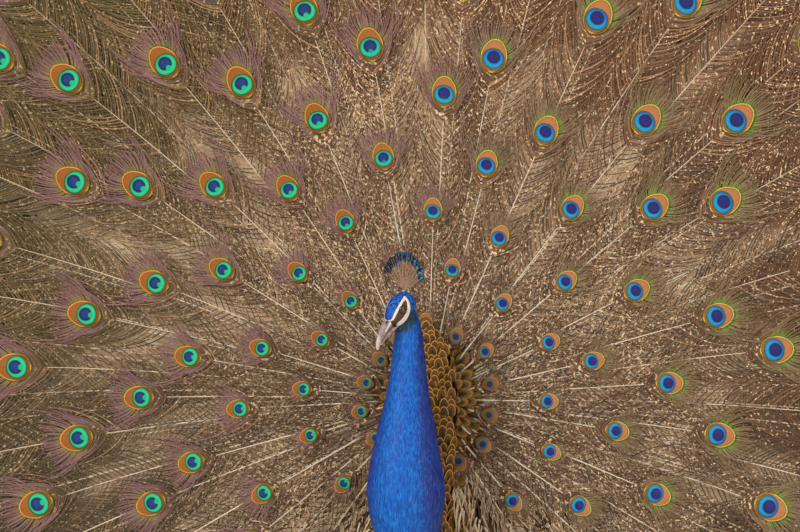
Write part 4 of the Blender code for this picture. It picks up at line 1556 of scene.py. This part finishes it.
class Vane(enum.Enum):
    """The shapes of vane that coats repeat: cross-sections, points across, how blunt the tip is."""

    BARB = (4, 2, 0.9)
    TUFT = (5, 3, 1.6)
    SCALE = (7, 7, 1.9)

    def mesh(self, name: str) -> Mesh:
        """A leaf of unit length along +Y and unit width, arched over its middle."""
        rows, columns, blunt = self.value
        along = np.repeat(np.linspace(0.0, 1.0, rows), columns)
        across = np.tile(np.linspace(-1.0, 1.0, columns), rows)
        half = np.sqrt(np.maximum(1.0 - along ** (1.0 + blunt), 0.0025))
        half *= 0.5 * np.minimum(1.0, 0.45 + 1.6 * along)
        rise = 0.10 * np.sin(along * math.pi * 0.9) + 0.05 * (1.0 - across**2) * half * 2.0
        points = np.stack([across * half, along, rise], axis=1)
        first = (np.arange(rows - 1)[:, None] * columns + np.arange(columns - 1)[None, :]).reshape(-1)
        faces = np.stack([first, first + 1, first + columns + 1, first + columns], axis=1)
        made = mesh_from(name, points, faces)
        put_mark(made, "across", across)
        put_mark(made, "along", along)
        beyond = np.maximum(along - 0.42, 0.0) / 0.58
        put_mark(made, "edge", np.sqrt((across * half / 0.5) ** 2 + beyond**2))
        return made


@dataclass
class Coat:
    """A coat of vanes over part of the skin, thinned to one spacing, laid along the skin's lie."""

    name: str
    vane: Vane
    cover: str
    slot: str
    length: float
    width: float
    spacing: float
    tilt: float
    seed: int
    spread: float = 0.12

    def tree(self) -> Growth:
        """The Geometry Nodes tree of a coat."""
        grow = Growth(f"{self.name}_growth")
        kinds = {
            "Vane": "Object", "Spacing": "Float", "Length": "Float", "Width": "Float", "Tilt": "Float",
            "Spread": "Float", "Seed": "Int", "Material": "Material",
        }
        asked = [grow.ask(name, kind) for name, kind in kinds.items()]
        vane, spacing, length, width, tilt, spread, seed, material = asked
        base = Wire(grow, grow.entry.outputs["Geometry"])
        values = {"Mesh": base, "Distance Min": spacing, "Density Max": 4.0 / self.spacing**2}
        values |= {"Density Factor": grow.mark(self.cover), "Seed": seed}
        settings = {"distribute_method": "POISSON"}
        points = grow.node("GeometryNodeDistributePointsOnFaces", settings, values, out="Points")
        normal_way = Wire(grow, points.socket.node.outputs["Rotation"])
        settings = {"data_type": "FLOAT", "domain": "POINT"}
        values = {"Geometry": points, "Name": "tone", "Value": grow.chance(0.0, 1.0, seed, 1)}
        points = grow.node("GeometryNodeStoreNamedAttribute", settings, values)
        values = {"Rotation": normal_way, "Vector": grow.mark("lie", "FLOAT_VECTOR")}
        settings = {"axis": "Y", "pivot_axis": "Z"}
        laid = grow.node("FunctionNodeAlignRotationToVector", settings, values)
        nod = tilt * grow.chance(0.6, 1.4, seed, 2)
        own = grow.join(nod, 0.0, spread * grow.chance(-1.0, 1.0, seed, 3))
        own = grow.node("FunctionNodeEulerToRotation", values={0: own})
        turned = grow.node("FunctionNodeRotateRotation", {"rotation_space": "LOCAL"}, {0: laid, 1: own})
        size = grow.chance(0.8, 1.2, seed, 4)
        scale = grow.join(width * size, length * size, length * size)
        leaf = grow.node("GeometryNodeObjectInfo", values={"Object": vane}, out="Geometry")
        values = {"Points": points, "Instance": leaf, "Rotation": turned, "Scale": scale}
        grow.end(grow.node("GeometryNodeInstanceOnPoints", values=values), material)
        return grow

    def build(self, skin: Object) -> None:
        """Grows the coat on the skin and maps each vane at its root's place."""
        leaf = link(f"{self.name}_vane", self.vane.mesh(f"{self.name}_vane"))
        finish = PlumageFinish(self.name, True).make()
        mesh = self.tree().run(
            skin, Vane=leaf, Spacing=self.spacing, Length=self.length, Width=self.width, Tilt=self.tilt,
            Spread=self.spread, Seed=self.seed, Material=finish,
        )
        bpy.data.objects.remove(leaf)
        mesh.name = self.name
        self.map_roots(mesh)
        settle_in(new_piece(mesh, finish), self.slot)

    def map_roots(self, mesh: Mesh) -> None:
        """Turns each vane's root place and its own across and along into its patch of the OFBake map."""
        marks = mesh.attributes
        root = taken(marks["root_place"].data, "vector", 3)[:, :2]
        across = taken(marks["across"].data, "value")
        along = taken(marks["along"].data, "value")
        own = np.concatenate([across / 2, along - 0.5], axis=1) * PATCH
        spent = ("cover_", "OFBake", "root_place", "lie")
        for name in [mark.name for mark in marks if mark.name.startswith(spent)]:
            marks.remove(marks[name])
        add_map(mesh, "OFBake", root + own)


@dataclass(frozen=True)
class PlumageFinish:
    """All the body's colours, blended by the skin's marks and, on vanes, drawn across and along each one."""

    name: str
    vane: bool

    def make(self) -> Material:
        """The material."""
        graph = Graph(f"{self.name}_plumage")
        place = graph.place()
        tone = graph.read("tone") if self.vane else graph.noise(place, 260.0, 2.0)
        along = graph.read("along") if self.vane else graph.noise(place, 90.0, 1.0)
        edge = graph.read("edge") if self.vane else graph.noise(place, 130.0, 1.0) * 0.6
        fibre = graph.noise(graph.stretch(place, (1.0, 1.0, 0.25)), 900.0, 2.0)
        pores = graph.noise(place, 1400.0, 2.0)
        bare = graph.read("bare")
        layers = {
            "gold": self.gold(graph, edge, tone, fibre),
            "back": self.bronze(graph, edge, tone, fibre),
            "wing": self.barred(graph, place, along, tone, fibre),
            "down": self.dusky(graph, tone, along, fibre),
            "thigh": self.buff(graph, tone, fibre),
            "dusk": self.night(graph, tone, fibre),
        }
        white = graph.mix(pores.step(0.35, 0.75) * 0.35, srgb(238, 234, 222), srgb(196, 186, 166))
        colour = graph.paint(
            self.cobalt(graph, place, tone, along, fibre),
            *[(graph.read(mark).step(0.26, 0.48), layer) for mark, layer in layers.items()],
            (graph.read("patch").step(0.35, 0.65), graph.mix(pores, srgb(58, 42, 34), srgb(104, 80, 64))),
            (bare.step(0.35, 0.6), white),
        )
        relief = graph.mix(bare, fibre, pores)
        return graph.finish(colour, 0.44 + fibre * 0.2, relief=relief, depth=0.0003, specular_ior_level=0.3)

    def cobalt(self, graph: Graph, place: Wire, tone: Wire, along: Wire, fibre: Wire) -> Wire:
        """Neck and breast: cobalt, with painted shade in darker violet at both edges and under the breast,
        and greener high on the rear.
        """
        x, y, z = graph.parts(place)
        strokes = graph.noise(graph.stretch(place, (1.0, 1.0, 0.22), (0.0, 0.5, 0.0)), 420.0, 2.0)
        from_middle = x / (z.step(0.80, 0.50) * 0.030 + 0.022)
        speckle = graph.noise(place, 400.0, 1.0).step(0.50, 0.55)
        bright = graph.mix(tone, srgb(16, 86, 226), srgb(48, 140, 252))
        return graph.paint(
            graph.mix(tone, srgb(0, 82, 196), srgb(0, 118, 222)),
            # Painted shade and painted iridescent sheen: darker violet towards both sides of the neck, where
            # it turns away.
            (from_middle.step(-0.55, -1.10) * 0.75, srgb(44, 46, 164)),
            (from_middle.step(0.45, 0.95) * 0.75, srgb(54, 42, 140)),
            (y.step(-0.115, -0.085) * z.step(0.50, 0.62) * 0.7, srgb(6, 110, 150)),
            # Painted shade under the breast, where it turns downward.
            (z.step(0.46, 0.40) * 0.6, srgb(40, 62, 128)),
            (z.step(0.824, 0.836), graph.mix(speckle * 0.95, bright, srgb(4, 10, 36))),
            (graph.read("throat").step(0.15, 0.8), graph.mix(tone, srgb(30, 34, 26), srgb(34, 74, 62))),
            (strokes.step(0.42, 0.70) * 0.45, srgb(6, 34, 112)),
            (strokes.step(0.52, 0.30) * 0.30, srgb(46, 150, 236)),
            (along.step(0.35, 0.0) * 0.55, srgb(10, 30, 74)),
            (fibre.step(0.5, 0.8) * 0.25, srgb(20, 40, 110)),
        )

    def gold(self, graph: Graph, edge: Wire, tone: Wire, fibre: Wire) -> Wire:
        """Mantle scales: bronze with a bright rim and a dark edge."""
        return graph.paint(
            graph.mix(tone, srgb(70, 46, 16), srgb(108, 72, 22)),
            (edge.step(0.45, 0.15), srgb(46, 40, 22)),
            (edge.within(0.76, 0.86, 0.04), graph.mix(fibre, srgb(228, 166, 54), srgb(196, 130, 32))),
            (edge.step(0.88, 0.95) * 0.92, srgb(48, 30, 12)),
        )

    def bronze(self, graph: Graph, edge: Wire, tone: Wire, fibre: Wire) -> Wire:
        """Back: green-gold scales with a coppery rim and a black edge."""
        return graph.paint(
            graph.mix(tone, srgb(92, 74, 32), srgb(118, 90, 42)),
            (edge.step(0.45, 0.15), srgb(48, 50, 34)),
            (edge.within(0.62, 0.84, 0.06), graph.mix(fibre, srgb(170, 118, 46), srgb(140, 100, 34))),
            (edge.step(0.88, 0.95) * 0.9, srgb(34, 26, 14)),
        )

    def barred(self, graph: Graph, place: Wire, along: Wire, tone: Wire, fibre: Wire) -> Wire:
        """Wing coverts: buff with wavy dark bars."""
        wavy = graph.noise(place, 60.0, 2.0)
        bars = (along * 15.0 + wavy * 9.0 + tone * 3.0).math("SINE") * 0.5 + 0.5
        base = graph.mix(tone, srgb(206, 180, 142), srgb(184, 154, 116))
        dark = graph.mix(fibre, srgb(62, 46, 34), srgb(90, 68, 48))
        return graph.mix(bars.step(0.45, 0.62) * 0.85, base, dark)

    def dusky(self, graph: Graph, tone: Wire, along: Wire, fibre: Wire) -> Wire:
        """Undertail down: grey-brown, paler at the tips."""
        return graph.paint(
            graph.mix(tone, srgb(96, 84, 72), srgb(136, 120, 100)),
            (along.step(0.6, 1.0) * 0.5, srgb(186, 170, 146)),
            (fibre.step(0.45, 0.75) * 0.4, srgb(62, 54, 46)),
        )

    def buff(self, graph: Graph, tone: Wire, fibre: Wire) -> Wire:
        """Thighs: pale buff."""
        base = graph.mix(tone, srgb(196, 170, 132), srgb(164, 138, 104))
        return graph.mix(fibre.step(0.45, 0.75) * 0.4, base, srgb(118, 96, 72))

    def night(self, graph: Graph, tone: Wire, fibre: Wire) -> Wire:
        """Belly: black with a green gloss."""
        base = graph.mix(tone, srgb(18, 30, 32), srgb(30, 58, 54))
        return graph.mix(fibre.step(0.45, 0.75) * 0.4, base, srgb(14, 16, 20))


@dataclass(frozen=True)
class HornFinish:
    """Horn of the bill, claws and spurs."""

    name: str = "horn"
    base: Colour = srgb(170, 152, 150)
    shade: Colour = srgb(112, 96, 94)
    tip: Colour = srgb(214, 200, 192)

    def make(self) -> Material:
        """The material."""
        graph = Graph(self.name)
        place = graph.place()
        grain = graph.noise(graph.stretch(place, (1.0, 1.0, 0.3)), 900.0, 3.0)
        tint = graph.paint(
            graph.mix(grain.step(0.35, 0.7), self.base, self.shade),
            (graph.noise(place, 150.0, 2.0).step(0.45, 0.7) * 0.5, self.tip),
            # Painted shade: the nostrils, dark in place of their shaded openings.
            (graph.read("dark").step(0.2, 0.9), srgb(58, 46, 48)),
            (graph.read("pale").step(0.2, 0.9) * 0.8, self.tip),
            (graph.read("bare").step(0.35, 0.65), srgb(236, 230, 218)),
        )
        return graph.finish(tint, 0.30 + grain * 0.15, relief=grain, depth=0.0001, coat_weight=0.15)


@dataclass(frozen=True)
class EyeFinish:
    """A dark brown iris round a black pupil, under a clear coat."""

    def make(self) -> Material:
        """The material."""
        graph = Graph("dark_eye")
        out, turn = graph.read("out"), graph.read("turn")
        rays = graph.noise(graph.join(turn * 8.0, out * 2.0, 0.0), 4.0, 2.0)
        iris = graph.mix(rays, srgb(74, 40, 22), srgb(112, 66, 34))
        tint = graph.mix(out.step(0.50, 0.46), iris, srgb(12, 9, 8))
        tint = graph.mix(out.step(0.84, 0.96), tint, srgb(30, 20, 16))
        return graph.finish(tint, 0.12 + rays * 0.05, coat_weight=0.6, coat_roughness=0.03)


@dataclass(frozen=True)
class ScuteFinish:
    """Grey-brown scaled leg skin, darker in its grooves."""

    def make(self) -> Material:
        """The material."""
        graph = Graph("leg_scutes")
        place = graph.place()
        grain = graph.noise(place, 500.0, 3.0)
        tint = graph.paint(
            graph.mix(graph.noise(place, 60.0, 2.0), srgb(150, 136, 118), srgb(122, 108, 92)),
            (grain.step(0.4, 0.7) * 0.4, srgb(96, 84, 72)),
            (graph.read("groove").step(0.2, 0.9) * 0.75, srgb(64, 54, 46)),
        )
        return graph.finish(tint, 0.45 + grain * 0.2, relief=grain, depth=0.0002)


@dataclass(frozen=True)
class PlumeFinish:
    """Barbs of one flat feather: a ground colour, a second one mottled in, and darker tips."""

    name: str
    base: Colour
    second: Colour
    tip: Colour
    gloss: float = 0.5

    def make(self) -> Material:
        """The material."""
        graph = Graph(self.name)
        place = graph.place()
        tone, along, reach = graph.read("tone"), graph.read("along"), graph.read("reach")
        mottle = graph.noise(place, 45.0, 2.0)
        tint = graph.mix((tone * 0.5 + mottle * 0.6).step(0.35, 0.75), self.base, self.second)
        tint = graph.mix((reach + mottle * 0.15).step(0.80, 1.02), tint, self.tip)
        tint = graph.mix(along.step(0.75, 1.0) * 0.35, tint, self.tip)
        lines = graph.noise(place, 800.0, 1.0)
        return graph.finish(tint, self.gloss + lines * 0.15, relief=lines, depth=0.0002)


@dataclass
class HeadPieces:
    """Eyes, bill and crest."""

    head: HeadFrame = field(default_factory=HeadFrame)
    face: Face = field(default_factory=Face)
    crest_root: Triple = (0.0, 0.020, 0.017)
    crest_reach: float = 0.0545
    crest_forward: float = 50.0
    crest_rearward: float = 66.0
    crest_feathers: int = 31
    racquet: float = 0.0135
    racquet_barbs: int = 46
    shaft_barbs: int = 60
    seed: int = 21

    def __post_init__(self) -> None:
        """Lays out the crest's feathers."""
        self.random = np.random.default_rng(self.seed)
        angles = np.linspace(-self.crest_forward, self.crest_rearward, self.crest_feathers)
        self.angles = np.radians(angles + self.random.normal(size=len(angles)) * 1.2 + self.head.nod)
        taper = 1.0 - 0.20 * ((np.degrees(self.angles) - self.head.nod) / self.crest_rearward) ** 2
        self.reach = self.crest_reach * taper * (1.0 - 0.03 * self.random.random(len(angles)))
        self.lean = 0.0022 * (np.arange(len(angles)) % 3 - 1.0)

    def eyes(self) -> None:
        """Eyeballs with a cornea's bulge."""
        finish = EyeFinish().make()
        for side, name in ((1.0, "left"), (-1.0, "right")):
            shape = bmesh.new()
            bmesh.ops.create_uvsphere(shape, u_segments=36, v_segments=24, radius=1.0)
            made = bpy.data.meshes.new(f"eyeball_{name}")
            shape.to_mesh(made)
            shape.free()
            ball = points_of(made)
            away = np.linalg.norm(ball[:, :2], axis=1) + (ball[:, 2] < 0) * 2.0
            bulge = 1.0 + 0.06 * ease(0.60, 0.25, away)
            radius = self.head.eye_radius - 0.0001
            local = np.stack([ball[:, 2] * side, ball[:, 0], ball[:, 1]], axis=1) * (bulge * radius)[:, None]
            put_points(made, self.head.world(local + self.head.eye_centre(side)))
            put_mark(made, "out", away * 1.15)
            put_mark(made, "turn", np.abs(np.arctan2(ball[:, 1], ball[:, 0])))
            turned = bmesh.new()
            turned.from_mesh(made)
            bmesh.ops.recalc_face_normals(turned, faces=turned.faces)
            turned.to_mesh(made)
            turned.free()
            settle_in(new_piece(made, finish), "dark_eye", f"eye_{name}")

    def bill(self) -> None:
        """Both halves of the bill, with pale edges and nostrils painted dark as painted shade of their
        openings.
        """
        finish = HornFinish("bill_horn").make()
        nostril = np.array([[0.0045, -0.030, 0.001], [0.0040, -0.036, -0.001]])
        for half in ("upper", "lower"):
            made = rounded(f"bill_{half}_horn", 3, f"bill_{half}")
            local = self.head.local(points_of(made))
            near = segment_distance(local * np.where(local[:, :1] < 0, [[-1.0, 1.0, 1.0]], 1.0), nostril)
            # Painted shade marks for the nostril openings.
            put_mark(made, "dark", ease(0.0022, 0.0010, near) * (half == "upper"))
            put_mark(made, "pale", ease(-0.048, -0.064, local[:, 1]))
            put_mark(made, "bare", self.face.bare(local))
            settle_in(new_piece(made, finish), "grey_horn", f"bill_{half}")

    def fan_points(self, far: Array, turn: Array, bow: Array) -> Array:
        """Places in the crest's fan, by distance from its root, angle and sideways bow, row by row."""
        arm = np.stack(np.broadcast_arrays(bow, np.sin(turn) * far, np.cos(turn) * far), axis=-1)
        return self.head.world((np.array(self.crest_root) + arm).reshape(-1, 3)).reshape(arm.shape)

    def shafts(self) -> None:
        """The crest's bare shafts."""
        share = np.linspace(0.04, 1.0, 9)[None]
        part = share * 0.97
        reach, angles, lean = (values[:, None] for values in (self.reach, self.angles, self.lean))
        path = self.fan_points(reach * part, angles, lean * part**1.5)
        across = np.linspace(0.1, 0.9, self.crest_feathers)[:, None]
        places = np.stack(np.broadcast_arrays(across, share), axis=-1)
        shafts = tubes(path, 0.00044 - 0.00018 * share, places, "crest_shafts")
        settle_in(new_piece(shafts, ShaftFinish().make()), "crest_plumes", "crest")

    def racquets(self) -> None:
        """The racquets at the shafts' ends, and the short thin barbs below them."""
        share = np.linspace(0.0, 1.0, 4)[None]
        strands = Strands()
        owner = np.repeat(np.arange(self.crest_feathers), self.racquet_barbs)
        count = len(owner)
        along = np.linspace(0.0, 1.0, self.racquet_barbs // 2).repeat(2)
        along = np.tile(along, self.crest_feathers)
        side = np.tile([-1.0, 1.0], count // 2)[:, None]
        reach, lean = self.reach[owner], self.lean[owner]
        foot = 1.0 - self.racquet / reach * (1.0 - 0.88 * along)
        long = 0.0050 * np.sqrt(np.clip(1.0 - (along - 0.45) ** 2 / 0.42, 0.05, 1.0))[:, None]
        far = (reach * foot)[:, None] + long * share * 0.55
        turn = self.angles[owner][:, None] + side * long * share * 0.85 / reach[:, None]
        bow = (lean * foot**1.5)[:, None] + 0.0010 * share * (self.random.random((4, count)).T - 0.5)
        half = (0.00052 * (1.0 - 0.6 * share))[..., None]
        self.add_barbs(strands, owner, self.fan_points(far, turn, bow), half, 0.2 + 0.6 * along, along)
        owner = np.repeat(np.arange(self.crest_feathers), self.shaft_barbs)
        count = len(owner)
        part = 0.10 + 0.66 * self.random.random(count)
        side = self.random.choice([-1.0, 1.0], count)[:, None]
        reach, lean = self.reach[owner], self.lean[owner]
        far = (reach * part)[:, None] + 0.0045 * share
        turn = self.angles[owner][:, None] + side * 0.0022 * share / reach[:, None]
        path = self.fan_points(far, turn, (lean * part**1.5)[:, None])
        self.add_barbs(strands, owner, path, 0.00024, 0.05 + 0.1 * part, np.full(count, -1.0))
        mesh = strands.mesh("crest_racquets")
        settle_in(new_piece(mesh, RacquetFinish().make()), "crest_plumes", "crest")

    def add_barbs(
        self, strands: Strands, owner: Array, path: Array, half: Array | float, row: Array,
        along: Array,
    ) -> None:
        """Adds barbs that lie in the fan's plane.

        Args:
            strands: what they are added to.
            owner: (n,) the feather of each.
            path: (n, sections, 3) centre lines.
            half: half widths.
            row: (n,) places up the OFBake map.
            along: (n,) places along the racquet, or -1 below it.
        """
        spread = unit(np.cross(np.gradient(path, axis=1), self.head.axes()[0])) * half
        patch = np.stack([0.1 + 0.8 * owner / self.crest_feathers, row], axis=1)
        strands.add(path, spread, patch, tone=self.random.random(len(owner)), along=along)

    def build(self) -> None:
        """Makes eyes, bill and crest."""
        self.eyes()
        self.bill()
        self.shafts()
        self.racquets()


@dataclass(frozen=True)
class ShaftFinish:
    """Pinkish tan shafts of the crest."""

    def make(self) -> Material:
        """The material."""
        graph = Graph("crest_shaft")
        grain = graph.noise(graph.place(), 700.0, 2.0)
        tint = graph.mix(grain.step(0.35, 0.7), srgb(206, 172, 150), srgb(150, 116, 98))
        return graph.finish(tint, 0.45 + grain * 0.1, relief=grain, depth=0.0001)


@dataclass(frozen=True)
class RacquetFinish:
    """Crest racquets: navy with teal glints, black-brown at the front; tan barbs below them."""

    def make(self) -> Material:
        """The material."""
        graph = Graph("crest_racquet")
        place = graph.place()
        _, y, _ = graph.parts(place)
        tone, along = graph.read("tone"), graph.read("along")
        glints = graph.noise(place, 260.0, 2.0)
        tint = graph.paint(
            graph.mix(tone, srgb(14, 22, 60), srgb(14, 44, 104)),
            ((along + glints * 0.6 - 0.3).step(0.62, 1.0) * 0.7, srgb(4, 84, 136)),
            ((glints + tone * 0.2).step(0.66, 0.74), srgb(60, 190, 206)),
            (y.step(-0.148, -0.166) * 0.8, srgb(34, 28, 44)),
            (along.step(-0.4, -0.6), graph.mix(tone, srgb(190, 154, 134), srgb(140, 108, 92))),
        )
        return graph.finish(tint, 0.35 + glints * 0.15, relief=glints, depth=0.0001)


@dataclass
class PlumeFan:
    """A row of flat feathers with quills, each made of close barbs."""

    name: str
    slot: str
    nodes: tuple[str, ...]
    spot: Callable[[Array, Array], Array]
    angles: Array
    lengths: Array
    half_width: float
    finish: PlumeFinish
    root: float = 0.05
    step: float = 0.0024
    layer: float = 0.0012
    seed: int = 31

    def frame_at(self, reach: Array, angle: Array) -> tuple[Array, Array, Array]:
        """Place, direction along and direction across at a reach of the feathers with an angle."""
        here = self.spot(reach, angle)
        along = self.spot(reach + 0.001, angle) - here
        across = self.spot(reach, angle + 0.004) - here
        along = unit(self.spot(reach + 0.001, angle) - here)
        across = self.spot(reach, angle + 0.004) - here
        across = unit(across - along * np.sum(across * along, axis=-1, keepdims=True))
        return here, along, across

    def lift(self, index: Array) -> Array:
        """How far feathers lie from the fan's own surface, every other one over its neighbours."""
        return (index % 2 * 2.0 - 1.0) * self.layer + index * 0.00012

    def barbs(self) -> Mesh:
        """The close barbs of every feather."""
        random = np.random.default_rng(self.seed)
        owner, reach, side = [], [], []
        for index, length in enumerate(self.lengths):
            steps = np.arange(self.root, length * 0.985, self.step)
            owner.append(np.full(2 * len(steps), index))
            reach.append(np.tile(steps, 2))
            side.append(np.repeat([-1.0, 1.0], len(steps)))
        owner, reach, side = np.concatenate(owner), np.concatenate(reach), np.concatenate(side)
        count = len(owner)
        full = self.lengths[owner]
        part = reach / full
        half = self.half_width * ease(0.02, 0.35, part) ** 0.5 * np.sqrt(np.clip(1.0 - part**6, 0.02, 1.0))
        here, along, across = self.frame_at(reach, self.angles[owner])
        over = np.cross(across, along)
        share = np.linspace(0.0, 1.0, 5)[None]
        slant = 1.05 * np.minimum(half, full * 1.02 - reach)
        out = half[:, None] * share * (0.94 + 0.10 * random.random(count))[:, None]
        rise = self.lift(owner)[:, None] - 0.10 * half[:, None] * share**2
        rise = rise + 0.0005 * random.normal(size=(count, 1)) * share
        path = here[:, None] + across[:, None] * (side[:, None] * out)[..., None]
        path += along[:, None] * (slant[:, None] * share**0.85)[..., None]
        path += over[:, None] * rise[..., None]
        spread = unit(np.cross(np.gradient(path, axis=1), over[:, None]))
        spread = spread * (0.00155 * (1.0 - 0.45 * share))[..., None]
        patch = np.stack([(owner + 0.5 + side * 0.2) / len(self.lengths), 0.03 + 0.94 * part], axis=1)
        strands = Strands()
        marks = {"tone": random.random(count), "reach": part, "along": np.repeat(share, count, axis=0)}
        strands.add(path, spread, patch, **marks)
        return strands.mesh(f"{self.name}_barbs")

    def quills(self) -> Mesh:
        """A quill down every feather."""
        share = np.linspace(0.0, 1.0, 12)[None]
        foot = self.root * 0.4
        far = foot + (self.lengths[:, None] * 0.99 - foot) * share
        line, forward, sideways = self.frame_at(far, np.repeat(self.angles[:, None], 12, axis=1))
        index = np.arange(len(self.lengths))[:, None]
        line += np.cross(sideways, forward) * self.lift(index)[..., None]
        places = np.broadcast_arrays((index + 0.5) / len(self.lengths), 0.03 + 0.94 * share)
        radius = 0.0014 * (1.0 - 0.75 * share)
        return tubes(line, radius, np.stack(places, axis=-1), f"{self.name}_quills")

    def build(self) -> None:
        """Makes the barbs and the quills."""
        settle_in(new_piece(self.barbs(), self.finish.make()), self.slot, *self.nodes)
        settle_in(new_piece(self.quills(), QuillFinish().make()), self.slot, *self.nodes)


def tail_spot(reach: Array, angle: Array) -> Array:
    """A place on the fanned tail behind the train."""
    rise = reach * np.cos(angle)
    return np.stack([reach * np.sin(angle), 0.120 - 0.10 * rise - 0.06 * reach, 0.490 + rise], axis=-1)


def wing_spot(side: float) -> Callable[[Array, Array], Array]:
    """Places on the lowered primaries of one wing."""

    def spot(reach: Array, angle: Array) -> Array:
        """The place at a reach and an angle down from straight ahead."""
        out = (0.020 + 0.080 * reach) * ease(0.05, 0.30, reach)
        ahead, down = reach * np.cos(angle), reach * np.sin(angle)
        return np.stack([side * (0.097 + out), -0.045 + ahead, 0.345 - down], axis=-1)

    return spot


def build_flight_feathers() -> None:
    """The fanned tail and the lowered primaries."""
    angles = np.radians(np.linspace(-84.0, 84.0, 20))
    grey = PlumeFinish("tail_plume", srgb(124, 104, 82), srgb(92, 74, 58), srgb(170, 148, 118))
    lengths = np.full(20, 0.452)
    PlumeFan("tail", "bronze_plumage", ("tail",), tail_spot, angles, lengths, 0.030, grey).build()
    rufous = PlumeFinish("primary_plume", srgb(166, 96, 48), srgb(138, 76, 38), srgb(92, 60, 40))
    angles = np.radians(np.linspace(60.0, 15.0, 9))
    lengths = 0.325 * (1.0 - 0.16 * np.linspace(-0.4, 1.0, 9) ** 2)
    for side, name in ((1.0, "primaries_left"), (-1.0, "primaries_right")):
        spot = wing_spot(side)
        PlumeFan(name, "chestnut_quills", (name,), spot, angles, lengths, 0.017, rufous, layer=0.0008).build()


@dataclass
class Legs:
    """Scaled legs and toes in one skin each, with horn claws and spurs."""

    voxel: float = 0.0013
    plate: float = 0.0062
    toe_plate: float = 0.0036
    depth: float = 0.00045

    def build(self) -> None:
        """Makes both legs."""
        scutes = ScuteFinish().make()
        horn = HornFinish("claw_horn", srgb(92, 80, 72), srgb(58, 48, 42), srgb(132, 118, 104)).make()
        for side in ("left", "right"):
            toes = ("middle", "inner", "outer", "hind")
            self.leg(side, [f"tarsus_{side}", *[f"toe_{toe}_{side}" for toe in toes]], scutes)
            for node in [f"claw_{toe}_{side}" for toe in toes] + [f"spur_{side}"]:
                settle_in(new_piece(rounded(f"{node}_horn", 2, node), horn), "grey_horn", node)

    def leg(self, side: str, nodes: list[str], finish: Material) -> None:
        """One leg's skin with plates down its front and along its toes.

        Args:
            side: left or right.
            nodes: the CAD nodes that it stands for.
            finish: the skin's material.
        """
        form = gathered(nodes, 0.0005)
        made = worked(f"leg_{side}_skin", form, "REMESH", mode="VOXEL", voxel_size=self.voxel)
        relax(made, 3)
        places, normals = points_of(made), normals_of(made)
        low, high = (np.array(corner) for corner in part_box(f"tarsus_{side}"))
        foot = (low + high) / 2 * np.array([1.0, 0.0, 0.0]) + np.array([0.0, -0.021, 0.0])
        on_toe = ease(0.020, 0.012, places[:, 2])
        outward = np.linalg.norm((places - foot)[:, :2], axis=1)
        front = ease(0.3, -0.3, normals[:, 1])
        saw = np.abs(((places[:, 2] / self.plate) % 1.0) - 0.5) * 2.0
        toe_saw = np.abs(((outward / self.toe_plate) % 1.0) - 0.5) * 2.0
        groove = ease(0.70, 0.98, saw) * (0.35 + 0.65 * front) * (1.0 - on_toe)
        groove += ease(0.6, 0.95, toe_saw) * on_toe
        groove *= ease(-0.5, 0.1, normals[:, 2] + (1.0 - on_toe))
        put_points(made, places - normals * (self.depth * groove)[:, None])
        put_mark(made, "groove", groove)
        piece = new_piece(made, finish)
        unwrap(piece)
        settle_in(piece, "leg_scutes", *nodes)


def build_body() -> None:
    """The skin and all the coats that grow from it."""
    skin = Skin().build()
    barb, scale, tuft = Vane.BARB, Vane.SCALE, Vane.TUFT
    # Name, vane, place, finish; length, width, spacing, tilt, seed, and the spread where it isn't the usual
    coats = (
        ("neck_coat", barb, "cover_blue", "cobalt_plumage", 0.0105, 0.0022, 0.0024, -0.10, 3),
        ("head_coat", barb, "cover_head", "cobalt_plumage", 0.0030, 0.0012, 0.0010, -0.10, 4),
        ("mantle_scales", scale, "cover_gold", "gold_scale_plumage", 0.0190, 0.0135, 0.0072, 0.22, 5),
        ("back_scales", scale, "cover_back", "bronze_plumage", 0.0235, 0.0165, 0.0092, 0.20, 6),
        ("wing_coverts", scale, "cover_wing", "buff_barred_plumage", 0.0300, 0.0190, 0.0088, 0.12, 7),
        ("undertail_down", tuft, "cover_down", "dusky_down", 0.0420, 0.0085, 0.0048, 0.60, 8, 0.5),
        ("thigh_coat", tuft, "cover_thigh", "dusky_plumage", 0.0160, 0.0055, 0.0040, 0.14, 9, 0.2),
    )
    for coat in coats:
        Coat(*coat).build(skin)


def main() -> None:
    """Builds the studio and the bird, piece by piece."""
    logging.basicConfig(level=logging.INFO, format="%(name)s: %(message)s")
    Studio().build()
    Train().build()
    build_flight_feathers()
    build_body()
    HeadPieces().build()
    Legs().build()


if __name__ == "__main__":
    main()
